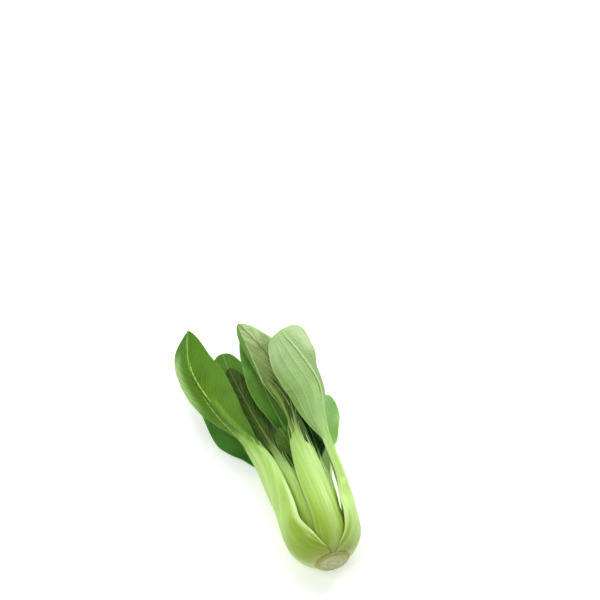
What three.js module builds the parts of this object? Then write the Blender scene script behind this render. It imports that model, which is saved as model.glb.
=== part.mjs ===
// Baby bok choy bunch, cut through its short stem and lying on its side. Millimetres, +Z up.
//
// The stalks grow in rings round one axis, which runs along +Y from the cut stem to the leaf tips.
// Each leaf is two solids: a fleshy stalk, which goes on as the midrib, and a thin waved blade that
// lies on the stalk's inner face. Every leaf follows its own spine, a smooth curve through its bulb
// and five free points: mid stalk, neck, low blade, high blade and tip.
import * as THREE from "three";

// Driving dimensions of the bulb
const RINGS = {
  outer: { inside: 20.2, thickness: 5.0 },
  second: { inside: 15.2, thickness: 4.5 },
  third: { inside: 10.7, thickness: 4.0 },
  inner: { inside: 6.8, thickness: 3.4 },
};
const BULB_STATIONS = [0, 6, 14, 25]; // distances from the stem where each stalk's wrap angle is given
const SWELL_LENGTH = 24; // the bulb widens over this length
const SWELL_DEPTH = 0.8; // how far it draws in at the stem
const BASE = { cut: 9.4, rim: 10.3, shoulder: 11.2, depth: 1.8, bevel: 0.6, gap: 0.3, sides: 36 };

// Driving dimensions of a leaf
const BLADE_THICKNESS = 0.9;
const JOIN_GAP = 0.35; // between the blade and the midrib behind it
const RIB_THICKNESS = 0.7; // least thickness of the midrib behind the blade
const BLADE_LEAD = 6; // the blade starts this far below the neck
const STEP_START = 3; // the stalk steps back for the blade over these two distances
const STEP_END = 0.8;
const RIB_END = 0.93; // share of the spine where the midrib ends
const RIB_PLACE = 0.45; // the stalk has thinned to a midrib here, from 0 at the neck to 1 at low blade
const RIB_WIDTHS = [0.34, 0.15, 0.09]; // midrib there, at low and at high blade, as shares of the neck's
const RIB_DEPTHS = [0.62, 0.46, 0.38]; // and its thickness
const MID_STALK_DEPTH = 0.92; // stalk's thickness at mid stalk, as a share of the bulb's
const CRESCENT_POWER = 2.2; // how flat the back of a stalk's crescent section is
const RIDGES = 3; // ridges on each half of a stalk's outer face
const GROOVE_DEPTH = 0.35; // grooves between them
const FOLD_WIDTH = 3; // the fold at the midrib is spread over this width
const NECK_FOLD = 0.5; // fold at the neck, as a share of the low blade's
const TIP_BEND = 0.6; // bend at the tip, as a share of the high blade's
const TIP_HALF = 0.5;
const TIP_THICKNESS = 1.0;
const BLEND_POWER = 4; // how sharply the blade's outline leaves the stalk
const WAVE_POWER = 2.2; // how close the wave keeps to the edge
const WAVE_LAG = 0.37; // the left edge's wave lags by this share of a wave
const WAVE_FADE = { stalk: 4, tip: 5 }; // the wave grows over one part in four, and fades over one in five
const FLOOR = -19.6; // the surface that the bunch rests on, below its axis

// Mesh fineness
const BULB_ROWS = [0, 3, 7, 12, 18, 25]; // distances from the stem
const STALK_ROWS = 4; // rows from the bulb's top to the blade's start
const SPINE_STEPS = 100; // samples between two points of a spine
const TANGENT_STEP = 0.012; // share of the spine to each side of a point that gives its direction
const ARC_STEPS = 24; // samples across a half section
const TIP_CLOSENESS = 1.4; // how much closer the rows of a blade stand towards its tip
const FINE = { stalk: 12, blade: 8, rows: 14 };
const PLAIN = { stalk: 6, blade: 6, rows: 12 };

// Colours, roughness
const STALK_COLOUR = "#b8dc72";
const BASE_COLOUR = "#c9cfa4";
const STALK_ROUGHNESS = 0.38;
const BLADE_ROUGHNESS = 0.45;

// The leaves. angle is the stalk's place round the axis, 0 at +X and 90 at the top. wrap is its half
// angle at each bulb station. spine holds the five free points from the axis, and facing the angle
// that the outer face looks to at each of them. stalk is its half width at mid stalk and neck, and
// blade holds the half widths left and right of the midrib. neckCup is the angle that each half bends
// through at mid stalk, and cup holds the two halves' angles at neck, low and high blade. fold is the
// crease at the midrib there and at the tip. peak is the place of each half's greatest width, from 0
// at the blade's start to 1 at its tip, and rise and tip are the fullness of its outline before and
// after: a lower number is fuller.
const LEAVES = [
  {
    name: "left_leaf", ring: "outer", angle: 190, wrap: [96, 84, 74, 61], fine: true,
    colour: "#4f8230",
    spine: [[-20.6, 52, 4], [-25.8, 86, 6.5], [-41.6, 119, 11], [-50, 155, 10], [-42.5, 193, 3]],
    facing: [160, 132, 122, 118, 120], stalk: [11.5, 6.2], blade: [14, 20], neckCup: 41,
    cup: [[60, 50], [50, 35], [20, 30]], fold: [12, 10, 0], neckThickness: 3.0,
    wave: { height: 1.4, count: 2 }, peak: [0.75, 0.52], rise: [1.05, 1.1], tip: [0.8, 0.8],
  },
  {
    name: "right_leaf", ring: "outer", angle: 4, wrap: [77, 57, 45, 38], fine: true,
    colour: "#93b86c",
    spine: [[22.3, 55, 1], [21.5, 86, 9], [27.4, 117, 17], [21, 142, 23], [13.5, 160, 26.5]],
    facing: [4, 42, 66, 72, 86], stalk: [5.5, 4.2], blade: [25.5, 18], neckCup: 50,
    cup: [[10, 70], [8, 80], [14, 26]], fold: [3, 5, 5], neckThickness: 3.0,
    wave: { height: 0.5, count: 2 }, peak: [0.5, 0.88], rise: [0.65, 2.7], tip: [0.34, 0.25],
  },
  {
    name: "middle_leaf", ring: "second", angle: 75, wrap: [66, 50, 42, 35], fine: true,
    colour: "#7d9a50",
    spine: [[3, 55, 15.6], [3.4, 88, 18], [5.2, 118, 20], [0, 150, 20], [-10, 181, 14]],
    facing: [82, 90, 92, 95, 95], stalk: [8.8, 5.4], blade: [12.5, 14], neckCup: 40,
    cup: [[50, 55], [35, 55], [20, 35]], fold: [8, 8, 0], neckThickness: 3.0,
    wave: { height: 0.9, count: 2 }, peak: [0.6, 0.6], rise: [1.1, 1.1], tip: [0.62, 0.62],
  },
  {
    name: "low_left_leaf", ring: "second", angle: 216, wrap: [52, 44, 38, 31], fine: false,
    colour: "#4a7d33",
    spine: [[-9.4, 54, -10.8], [-18.5, 82, -14.5], [-28.5, 106, -17.3], [-36, 132, -17.8], [-42, 157, -16.5]],
    facing: [226, 250, 268, 270, 270], stalk: [4.8, 4.6], blade: [14, 14], neckCup: 45,
    cup: [[25, 25], [15, 15], [10, 10]], fold: [0, 0, 0], neckThickness: 3.0,
    wave: { height: 1.3, count: 2.5 }, peak: [0.55, 0.55], rise: [1.1, 1.1], tip: [0.6, 0.6],
  },
  {
    name: "low_right_leaf", ring: "second", angle: 319, wrap: [42, 42, 38, 33], fine: false,
    colour: "#4a7d33",
    spine: [[12.3, 52, -11.2], [20, 80, -14.6], [27, 100, -17.2], [33, 115, -17.8], [37, 128, -16.5]],
    facing: [310, 290, 278, 274, 272], stalk: [5.6, 4.3], blade: [9, 8], neckCup: 45,
    cup: [[25, 25], [15, 15], [10, 10]], fold: [0, 0, 0], neckThickness: 3.0,
    wave: { height: 1.2, count: 2.5 }, peak: [0.55, 0.55], rise: [1.1, 1.1], tip: [0.5, 0.5],
  },
  {
    name: "shaded_leaf", ring: "third", angle: 142, wrap: [60, 52, 47, 43], fine: false,
    colour: "#3f5e22",
    spine: [[-8.8, 49, 7.5], [-12.2, 76, 7.7], [-18.1, 111, 5], [-22, 137, 3], [-24, 157, 1]],
    facing: [125, 110, 105, 105, 105], stalk: [6.2, 4.6], blade: [12, 12], neckCup: 50,
    cup: [[40, 50], [30, 50], [20, 20]], fold: [8, 8, 0], neckThickness: 3.0,
    wave: { height: 0.8, count: 2 }, peak: [0.55, 0.55], rise: [1.1, 1.0], tip: [0.6, 0.6],
  },
  {
    name: "far_leaf", ring: "third", angle: 276, wrap: [58, 55, 50, 45], fine: false,
    colour: "#5c9038",
    spine: [[-0.5, 55, -10], [-8.5, 90, -10.5], [-18, 125, -11], [-22, 154, -12], [-22.5, 180, -15]],
    facing: [275, 272, 271, 270, 270], stalk: [4.6, 4.4], blade: [15, 15], neckCup: 45,
    cup: [[30, 30], [20, 20], [10, 10]], fold: [0, 0, 0], neckThickness: 3.0,
    wave: { height: 1.0, count: 2 }, peak: [0.55, 0.55], rise: [1.1, 1.1], tip: [0.42, 0.42],
  },
  {
    name: "young_right_leaf", ring: "third", angle: 20, wrap: [42, 42, 40, 36], fine: false,
    colour: "#3f7a2c",
    spine: [[12.5, 44, 4], [12.7, 62, 5.5], [13, 78, 7], [12.8, 92, 8.5], [12.3, 104, 9.5]],
    facing: [30, 45, 60, 70, 75], stalk: [5.2, 4], blade: [7.5, 9], neckCup: 45,
    cup: [[50, 50], [40, 40], [20, 20]], fold: [0, 0, 0], neckThickness: 3.0,
    wave: { height: 1.3, count: 2.5 }, peak: [0.55, 0.55], rise: [1.1, 1.1], tip: [0.6, 0.6],
  },
  {
    name: "under_leaf", ring: "inner", angle: 268, wrap: [68, 64, 58, 52], fine: false,
    colour: "#5f9440",
    spine: [[0, 55, -4], [0, 86, 2], [-5, 118, 7], [-8, 150, 9.5], [-9.6, 179, 9]],
    facing: [265, 262, 262, 262, 262], stalk: [5.5, 4.6], blade: [14, 11.5], neckCup: 45,
    cup: [[40, 40], [25, 25], [15, 15]], fold: [5, 5, 0], neckThickness: 3.0,
    wave: { height: 0.6, count: 2.5 }, peak: [0.6, 0.5], rise: [1.1, 0.8], tip: [0.75, 1.0],
  },
  {
    name: "young_middle_leaf", ring: "inner", angle: 95, wrap: [60, 56, 52, 48], fine: false,
    colour: "#3f7a2c",
    spine: [[-1.5, 44, 6], [-0.8, 58, 6], [-0.7, 70, 7.1], [-3, 83, 9.9], [-6.5, 96, 12]],
    facing: [95, 92, 90, 90, 90], stalk: [4.2, 3.6], blade: [5.6, 6], neckCup: 50,
    cup: [[50, 50], [40, 40], [20, 20]], fold: [0, 0, 0], neckThickness: 2.6,
    wave: { height: 1, count: 2.5 }, peak: [0.78, 0.55], rise: [2.4, 1.1], tip: [0.5, 0.6],
  },
];

// Places among a spine's stations: four in the bulb, then the five free points
const [BULB_TOP, MID_STALK, NECK, LOW_BLADE, HIGH_BLADE] = [3, 4, 5, 6, 7];
const FREE_FROM = 0.75; // share of the bulb's length where the sections start to turn square to the spine
const radians = THREE.MathUtils.degToRad;
const clamp = THREE.MathUtils.clamp;

// Share of the full radius that the bulb has at a distance from the stem.
function swell(y) {
  const left = clamp(1 - y / SWELL_LENGTH, 0, 1);
  return Math.sqrt(1 - SWELL_DEPTH * left * left);
}

// 0 to 1 with level ends.
function ease(t) {
  const x = clamp(t, 0, 1);
  return x * x * (3 - 2 * x);
}

// A smooth value through values at stations, which never overshoots them.
function track(stations, values, at) {
  const last = stations.length - 1;
  const x = clamp(at, stations[0], stations[last]);
  const span = (i) => stations[i + 1] - stations[i];
  const slope = (i) => (values[i + 1] - values[i]) / span(i);
  const tangent = (i) => {
    if (i === 0) return slope(0);
    if (i === last) return slope(last - 1);
    if (slope(i - 1) * slope(i) <= 0) return 0;
    const before = 2 * span(i) + span(i - 1);
    const after = span(i) + 2 * span(i - 1);
    return (before + after) / (before / slope(i - 1) + after / slope(i));
  };
  let i = 0;
  while (i < last - 1 && x >= stations[i + 1]) i += 1;
  const h = span(i);
  const t = (x - stations[i]) / h;
  const t2 = t * t;
  const t3 = t2 * t;
  return (
    (2 * t3 - 3 * t2 + 1) * values[i] +
    (t3 - 2 * t2 + t) * h * tangent(i) +
    (3 * t2 - 2 * t3) * values[i + 1] +
    (t3 - t2) * h * tangent(i + 1)
  );
}

// Evenly spaced numbers from a to b, both included.
function spread(a, b, count) {
  return Array.from({ length: count }, (_, i) => a + ((b - a) * i) / (count - 1));
}

// One leaf's shape. u runs from 0 at the stem to 1 at the tip, q from -1 to 1 across the leaf, and
// offset is the distance out from the inner face.
class Leaf {
  constructor(sizes) {
    Object.assign(this, sizes);
    const { inside, thickness } = RINGS[this.ring];
    this.thickness = thickness;
    this.radii = BULB_STATIONS.map((y) => inside * swell(y));
    const turn = radians(this.angle);
    const points = BULB_STATIONS.map((y, i) => {
      const r = this.radii[i];
      return new THREE.Vector3(r * Math.cos(turn), y, r * Math.sin(turn));
    });
    this.spine.forEach((p) => points.push(new THREE.Vector3(...p)));
    this.measure(new THREE.CatmullRomCurve3(points, false, "centripetal"), points.length - 1);
    this.facings = [...BULB_STATIONS.map(() => this.angle), ...this.facing];
    this.bladeStart = this.stations[NECK] - BLADE_LEAD / this.length;
    const [neck, low] = this.stations.slice(NECK, LOW_BLADE + 1);
    this.ribStations = this.stations.toSpliced(LOW_BLADE, 0, neck + (low - neck) * RIB_PLACE);
  }

  // Samples the spine, so that u is the share of its length.
  measure(curve, segments) {
    const count = segments * SPINE_STEPS;
    this.samples = Array.from({ length: count + 1 }, (_, i) => curve.getPoint(i / count));
    this.shares = [0];
    for (let i = 1; i <= count; i += 1)
      this.shares.push(this.shares[i - 1] + this.samples[i].distanceTo(this.samples[i - 1]));
    this.length = this.shares[count];
    this.shares = this.shares.map((s) => s / this.length);
    this.stations = Array.from({ length: segments + 1 }, (_, i) => this.shares[i * SPINE_STEPS]);
  }

  onSpine(u) {
    const x = clamp(u, 0, 1);
    let i = 1;
    while (i < this.shares.length - 1 && this.shares[i] < x) i += 1;
    const t = (x - this.shares[i - 1]) / (this.shares[i] - this.shares[i - 1]);
    return new THREE.Vector3().lerpVectors(this.samples[i - 1], this.samples[i], t);
  }

  // The share of the spine at a distance from the stem, inside the bulb.
  shareAt(y) {
    let i = 1;
    while (this.samples[i].y < y) i += 1;
    const t = (y - this.samples[i - 1].y) / (this.samples[i].y - this.samples[i - 1].y);
    return this.shares[i - 1] + (this.shares[i] - this.shares[i - 1]) * t;
  }

  // Place, outward direction and sideways direction of the section at u. Inside the bulb the
  // sections stand square to the axis.
  frame(u) {
    const along = this.onSpine(u + TANGENT_STEP).sub(this.onSpine(u - TANGENT_STEP)).normalize();
    const from = this.stations[BULB_TOP] * FREE_FROM;
    const free = ease((u - from) / (this.stations[MID_STALK] - from));
    along.multiplyScalar(free).add(new THREE.Vector3(0, 1 - free, 0)).normalize();
    const facing = radians(track(this.stations, this.facings, u));
    const out = new THREE.Vector3(Math.cos(facing), 0, Math.sin(facing));
    out.addScaledVector(along, -out.dot(along)).normalize();
    return { place: this.onSpine(u), out, side: new THREE.Vector3().crossVectors(along, out) };
  }

  // 0 where the blade starts and 1 at the tip.
  bladeShare(u) {
    return clamp((u - this.bladeStart) / (1 - this.bladeStart), 0, 1);
  }

  stalkHalf(u) {
    const [middle, neck] = this.stalk;
    const bulb = this.wrap.map((angle, i) => radians(angle) * this.radii[i]);
    const ribs = RIB_WIDTHS.map((share) => Math.max(neck * share, TIP_HALF));
    return track(this.ribStations, [...bulb, middle, neck, ...ribs, TIP_HALF], u);
  }

  // Half width of the whole leaf: the stalk's, widened by the blade's outline.
  half(u, right) {
    const v = this.bladeShare(u);
    const side = right ? 1 : 0;
    const peak = this.peak[side];
    const x = v < peak ? (0.5 * v) / peak : 0.5 + (0.5 * (v - peak)) / (1 - peak);
    const outline = Math.max(Math.sin(Math.PI * x), 0) ** (v < peak ? this.rise[side] : this.tip[side]);
    const blade = this.blade[side] * outline;
    return (this.stalkHalf(u) ** BLEND_POWER + blade ** BLEND_POWER) ** (1 / BLEND_POWER);
  }

  // Bend of each half of the section, in radians a millimetre.
  bend(u, right) {
    const at = (station) => this.half(this.stations[station], right);
    const side = right ? 1 : 0;
    const values = this.radii.map((r) => 1 / r);
    values.push(radians(this.neckCup) / at(MID_STALK));
    [NECK, LOW_BLADE, HIGH_BLADE].forEach((station, i) => {
      values.push(radians(this.cup[i][side]) / at(station));
    });
    values.push(values[HIGH_BLADE] * TIP_BEND);
    return track(this.stations, values, u);
  }

  // The wave of the blade's edge, which dies out towards the midrib and the two ends.
  waveAt(u, q) {
    const v = this.bladeShare(u);
    const turns = this.wave.count * v + (q >= 0 ? 0 : WAVE_LAG);
    const fade = ease(v * WAVE_FADE.stalk) * ease((1 - v) * WAVE_FADE.tip);
    return this.wave.height * Math.sin(2 * Math.PI * turns) * Math.abs(q) ** WAVE_POWER * fade;
  }

  // Thickness of the stalk and midrib at a distance from the midrib.
  stalkThickness(u, distance) {
    const t = this.thickness;
    const neck = this.neckThickness;
    const values = BULB_STATIONS.map((y) => t * swell(y));
    const ribs = RIB_DEPTHS.map((share) => neck * share);
    values.push(t * MID_STALK_DEPTH, neck, ...ribs, TIP_THICKNESS);
    const middle = track(this.ribStations, values, u);
    const x = clamp(distance / this.stalkHalf(u), 0, 1);
    const crescent = Math.sqrt(Math.max(1 - x ** CRESCENT_POWER, 0));
    return BLADE_THICKNESS + Math.max(middle - BLADE_THICKNESS, 0) * crescent;
  }

  // A point of the leaf. across is the signed distance from the midrib along the section.
  point(u, across, q, offset) {
    const { place, out, side } = this.frame(u);
    const right = across >= 0;
    const sign = right ? 1 : -1;
    const bend = this.bend(u, right);
    const [low, high, tip] = this.fold;
    const fold = radians(track(this.stations, [0, 0, 0, 0, 0, low * NECK_FOLD, low, high, tip], u));
    const turnAt = (s) => fold * clamp(s / FOLD_WIDTH, 0, 1) + bend * s;
    const reach = Math.abs(across);
    let x = 0;
    let z = 0;
    for (let i = 0; i < ARC_STEPS; i += 1) {
      const turn = turnAt((reach * (i + 0.5)) / ARC_STEPS);
      x += (Math.cos(turn) * reach) / ARC_STEPS;
      z -= (Math.sin(turn) * reach) / ARC_STEPS;
    }
    const turn = turnAt(reach);
    const rise = offset + this.waveAt(u, q);
    const p = place.clone();
    p.addScaledVector(side, sign * (x + Math.sin(turn) * rise));
    p.addScaledVector(out, z + Math.cos(turn) * rise);
    return p;
  }
}

// A closed solid between two grids of points with the same rows and columns.
function shell(outer, inner) {
  const rows = outer.length;
  const columns = outer[0].length;
  const positions = [...outer.flat(), ...inner.flat()].flatMap((p) => [p.x, p.y, p.z]);
  const o = (r, c) => r * columns + c;
  const i = (r, c) => rows * columns + o(r, c);
  const index = [];
  const quad = (a, b, c, d) => index.push(a, b, c, a, c, d);
  for (let r = 0; r < rows - 1; r += 1) {
    for (let c = 0; c < columns - 1; c += 1) {
      quad(o(r, c), o(r, c + 1), o(r + 1, c + 1), o(r + 1, c));
      index.push(i(r, c), i(r + 1, c + 1), i(r, c + 1), i(r, c), i(r + 1, c), i(r + 1, c + 1));
    }
    quad(o(r, 0), o(r + 1, 0), i(r + 1, 0), i(r, 0));
    quad(o(r + 1, columns - 1), o(r, columns - 1), i(r, columns - 1), i(r + 1, columns - 1));
  }
  for (let c = 0; c < columns - 1; c += 1) {
    quad(o(0, c + 1), o(0, c), i(0, c), i(0, c + 1));
    quad(o(rows - 1, c), o(rows - 1, c + 1), i(rows - 1, c + 1), i(rows - 1, c));
  }
  const geometry = new THREE.BufferGeometry();
  geometry.setAttribute("position", new THREE.Float32BufferAttribute(positions, 3));
  geometry.setIndex(index);
  geometry.computeVertexNormals();
  return geometry;
}

// Keeps a point above the surface that the bunch rests on.
function rest(p, lift) {
  p.z = Math.max(p.z, FLOOR + lift);
  return p;
}

// The rows of a blade, closer towards its tip. Its midrib shares them, so that the two keep their gap.
function bladeShares(leaf) {
  const start = leaf.bladeStart;
  const steps = spread(1, 0, leaf.fine ? FINE.rows : PLAIN.rows);
  return steps.map((left) => start + (1 - start) * (1 - left ** TIP_CLOSENESS));
}

// Stalk and midrib: crescent sections, grooved outside, which step back behind the blade.
function stalkGeometry(leaf) {
  const { bladeStart, length, stations } = leaf;
  const before = bladeStart - STEP_START / length;
  const behind = bladeStart - STEP_END / length;
  const fineness = leaf.fine ? FINE : PLAIN;
  const shares = [
    ...BULB_ROWS.map((y) => leaf.shareAt(y)),
    ...spread(stations[BULB_TOP], before, STALK_ROWS).slice(1),
    behind,
    ...bladeShares(leaf).filter((u) => u > bladeStart && u < RIB_END),
  ];
  const across = spread(-1, 1, fineness.stalk + 1);
  const grid = (isOuter) =>
    shares.map((u) => {
      const half = leaf.stalkHalf(u);
      const back = u >= behind ? BLADE_THICKNESS + JOIN_GAP : 0;
      return across.map((q) => {
        const distance = q * half;
        const wide = distance / leaf.half(u, distance >= 0);
        if (!isOuter) return rest(leaf.point(u, distance, wide, back), RIB_THICKNESS);
        const groove = leaf.fine ? (GROOVE_DEPTH / 2) * (1 - Math.cos(RIDGES * Math.PI * q)) : 0;
        const thick = leaf.stalkThickness(u, Math.abs(distance)) - groove * ease(1 - Math.abs(q));
        return rest(leaf.point(u, distance, wide, Math.max(thick, back + RIB_THICKNESS)), 0);
      });
    });
  return shell(grid(true), grid(false));
}

// Blade: a thin sheet with a waved edge, from the stalk's top to the tip.
function bladeGeometry(leaf) {
  const fineness = leaf.fine ? FINE : PLAIN;
  const across = spread(-1, 1, fineness.blade + 1);
  const grid = (offset) =>
    bladeShares(leaf).map((u) =>
      across.map((q) => {
        const distance = q * leaf.half(u, q >= 0);
        return rest(leaf.point(u, distance, q, offset), BLADE_THICKNESS - offset);
      }),
    );
  return shell(grid(BLADE_THICKNESS), grid(0));
}

// The short stem that was cut through, with its flat cut face towards -Y.
function baseGeometry() {
  const { cut, rim, shoulder, depth, bevel, gap, sides } = BASE;
  const profile = [
    [0, -depth],
    [cut, -depth],
    [rim, bevel - depth],
    [shoulder, -gap],
    [0, -gap],
  ].map(([r, y]) => new THREE.Vector2(r, y));
  return new THREE.LatheGeometry(profile, sides);
}

function addMesh(group, name, geometry, colour, roughness) {
  const material = new THREE.MeshStandardMaterial({ color: colour, roughness, metalness: 0 });
  const mesh = new THREE.Mesh(geometry, material);
  mesh.name = name;
  group.add(mesh);
}

const bunch = new THREE.Group();
addMesh(bunch, "base", baseGeometry(), BASE_COLOUR, BLADE_ROUGHNESS);
LEAVES.forEach((sizes) => {
  const leaf = new Leaf(sizes);
  addMesh(bunch, leaf.name + "_stalk", stalkGeometry(leaf), STALK_COLOUR, STALK_ROUGHNESS);
  addMesh(bunch, leaf.name + "_blade", bladeGeometry(leaf), leaf.colour, BLADE_ROUGHNESS);
});

// The origin is under the middle of the bunch, on the surface that it rests on.
const box = new THREE.Box3().setFromObject(bunch, true);
const middle = box.getCenter(new THREE.Vector3());
bunch.position.set(-middle.x, -middle.y, -box.min.z);

export default bunch;
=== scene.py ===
"""Baby bok choy bunch lying on its side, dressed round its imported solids.

The stalks grow in rings round one axis, which runs along +Y from the cut stem to the leaf tips. Each
leaf is one closed mesh: a fleshy stalk that thins into the midrib of a waved blade. It follows the
same rules as the leaf's two solids, and replaces them. Driving sizes are in millimetres, measured
from the axis at the stalks' feet, and become metres in the frame where a mesh is made.
"""

import logging
import math
from dataclasses import dataclass, field
from enum import Enum
from typing import Any, Callable, Mapping, Optional, Sequence, Union

import bpy
import numpy as np
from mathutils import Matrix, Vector


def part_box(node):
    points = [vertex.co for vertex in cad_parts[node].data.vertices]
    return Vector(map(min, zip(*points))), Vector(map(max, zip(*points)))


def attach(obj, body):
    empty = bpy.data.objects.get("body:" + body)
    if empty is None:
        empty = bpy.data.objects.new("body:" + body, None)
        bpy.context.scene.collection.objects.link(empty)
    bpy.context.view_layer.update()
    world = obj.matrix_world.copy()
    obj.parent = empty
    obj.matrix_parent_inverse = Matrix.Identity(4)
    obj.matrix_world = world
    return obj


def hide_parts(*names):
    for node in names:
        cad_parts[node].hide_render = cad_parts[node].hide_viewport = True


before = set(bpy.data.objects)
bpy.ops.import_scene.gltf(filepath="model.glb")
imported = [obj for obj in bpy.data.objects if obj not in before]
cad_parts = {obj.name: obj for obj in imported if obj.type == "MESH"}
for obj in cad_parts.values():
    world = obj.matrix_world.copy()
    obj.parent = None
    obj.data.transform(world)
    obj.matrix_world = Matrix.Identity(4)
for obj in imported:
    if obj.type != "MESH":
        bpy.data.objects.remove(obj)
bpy.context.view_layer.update()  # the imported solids, as a fixed frame

log = logging.getLogger("bok_choy")

MM = 0.001
BODY = "root"
SEED = 7

# The bulb and the leaves, as in the solids
BULB_STATIONS = (0.0, 6.0, 14.0, 25.0)  # distances from the stem where a stalk's wrap is given
SWELL_LENGTH = 24.0  # the bulb widens over this length
SWELL_DEPTH = 0.8  # how far it draws in at the stem
BLADE_THICKNESS = 0.9
BLADE_LEAD = 6.0  # the blade starts this far below the neck
RIB_PLACE = 0.45  # the stalk has thinned to a midrib here, from 0 at the neck to 1 at low blade
RIB_WIDTHS = (0.34, 0.15, 0.09)  # midrib there, at low and at high blade, as shares of the neck's
RIB_DEPTHS = (0.62, 0.46, 0.38)  # and its thickness
MID_STALK_DEPTH = 0.92  # stalk's thickness at mid stalk, as a share of the bulb's
CRESCENT_POWER = 2.2  # how flat the back of a stalk's crescent section is
RIDGES = 3  # ridges on each half of a stalk's outer face
GROOVE_DEPTH = 0.35  # grooves between them
FOLD_WIDTH = 3.0  # the fold at the midrib is spread over this width
NECK_FOLD = 0.5  # fold at the neck, as a share of the low blade's
TIP_BEND = 0.6  # bend at the tip, as a share of the high blade's
TIP_HALF = 0.5
TIP_THICKNESS = 1.0
BLEND_POWER = 4  # how sharply the blade's outline leaves the stalk
WAVE_POWER = 2.2  # how close the wave keeps to the edge
WAVE_LAG = 0.37  # the left edge's wave lags by this share of a wave
WAVE_FADES = (4, 5)  # the wave grows over one part in four of the blade, and fades over one in five
TANGENT_STEP = 0.012  # share of the spine to each side of a point that gives its direction
FREE_FROM = 0.75  # share of the bulb's length where the sections start to turn square to the spine
BULB_TOP, MID_STALK, NECK, LOW_BLADE, HIGH_BLADE = 3, 4, 5, 6, 7  # numbers of the spine's points
SPINE_STEPS = 100  # samples between two points of a spine
ARC_STEPS = 24  # samples across a half section

# What the meshes add to the solids
MARGIN_THICKNESS = 0.45  # a blade thins to this at its margin
MARGIN_POWER = 1.5  # how close to the margin it does so
STALK_CREST = 0.5  # how sharply a stalk's back falls off at its sides
RIB_CREST = 1.3  # and how softly a midrib runs out into its blade
RIB_SPREAD = 0.5  # a midrib runs out this share further than the solid's
RIB_FADE = 8  # the stalk's back turns into the midrib's over one part in eight of the blade
NERVE_SPACING = 2.3  # fine lengthwise nerves of a stalk
NERVE_HEIGHT = 0.07
NERVE_DRIFT = 0.8  # how far they wander to the side
FINER_NERVES = (2.3, 0.5)  # how much closer a second set of them stands, and its share of the height
NERVE_END = (0.08, 0.12)  # they end this far past the neck and over this length, in shares of the spine
NERVE_FADES = (14, 5)  # how fast they rise from the stem, and from the stalk's margin
RIPPLE_HEIGHT = 0.12  # fine waves of the blade's margin
RIPPLE_LENGTH = 13.0
RIPPLE_LAG = 2.1  # how far the right margin's are ahead
RIPPLE_POWER = 6  # how close they keep to the margin
PUCKER_START = (0.8, 1.2)  # the blade bulges from here on over this width, in half widths of the midrib
PUCKER_POWER = 4  # how close to the margin the bulges end
PUCKER_FADES = (9, 7)  # they grow over one part in nine of the blade, and fade over one in seven
ROW_CROWDING = 0.055  # how much closer a mesh's rows stand at the foot and at the tip
RIM_ROUND = 0.4  # how far a leaf's rim is rounded out, as a share of its thickness
RIM_POINTS = 3
RIB_COLUMNS = 0.3  # share of a mesh's columns that lie on the midrib
BEAD_HEIGHT = 0.22  # a bead runs along each margin of a stalk
BEAD_PLACE = 0.93
BEAD_WIDTH = 0.045

# The raised veins
VEIN_RADIUS = (0.34, 0.24)  # radius of a side vein at its root, and how much thinner its tip is
VEIN_THINNING = 0.35  # how much thinner they all are at the blade's tip
VEIN_ROOT = 0.55  # they start at this share of the midrib's half width
VEIN_END = (0.93, 0.97)  # and end at these shares of the half width and of the blade's length
VEIN_FOOT = 6.0  # there are none below this place on the blade
VEIN_STEPS = 46  # most points of one
VEIN_LEAST = 6  # a vein of fewer points is left out
VEIN_FULL = 24  # and one of fewer than these is thinner
FAN_RADIUS = (0.32, 0.26)  # the same for the veins of a fan
FAN_ENDS = (5.0, 0.86)  # where they start, and the share of the blade's length where they end
FAN_STEPS = 70
FAN_EDGE = 0.95  # a vein that comes closer to the margin than this is left out
COMB_LEAD = 5.0  # the pale veins of a comb start this far below the green
COMB_RADIUS = (0.08, 0.42)  # their least radius, and what the thickest one adds to it
COMB_STEPS = 30
VEIN_SINK = 0.45  # how deep a vein lies in the blade, as a share of its radius

# The vessel ends on the cut face
DOME_RADIUS = 0.42
DOME_SCALES = (0.5, 1.15)  # least and most of their random scale
DOME_FLATNESS = 0.45
DOME_HEIGHT = 0.02  # how far their middles stand out of the face
DOME_SHIFTS = (0.25, 0.45)  # how uneven their rings are, round them in spacings and across them


def srgb(code: str) -> tuple[float, float, float, float]:
    """Turns a colour code into the linear colour that a shader takes.

    Args:
        code: Six hexadecimal digits, red first.

    Returns:
        Red, green, blue and alpha.
    """
    channels = [int(code[i : i + 2], 16) / 255 for i in (0, 2, 4)]
    linear = [c / 12.92 if c <= 0.04045 else ((c + 0.055) / 1.055) ** 2.4 for c in channels]
    return (linear[0], linear[1], linear[2], 1.0)


def ease(t: np.ndarray) -> np.ndarray:
    """Goes from 0 to 1 with level ends.

    Args:
        t: Values, clipped to 0 and 1.

    Returns:
        The eased values.
    """
    x = np.clip(t, 0.0, 1.0)
    return x * x * (3 - 2 * x)


def unit(vectors: np.ndarray) -> np.ndarray:
    """Scales vectors to a length of 1."""
    return vectors / np.linalg.norm(vectors, axis=-1, keepdims=True)


def swell(y: float) -> float:
    """Gives the share of its full radius that the bulb has.

    Args:
        y: Distance from the stem.

    Returns:
        The share, up to 1.
    """
    left = min(max(1 - y / SWELL_LENGTH, 0.0), 1.0)
    return math.sqrt(1 - SWELL_DEPTH * left * left)


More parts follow.
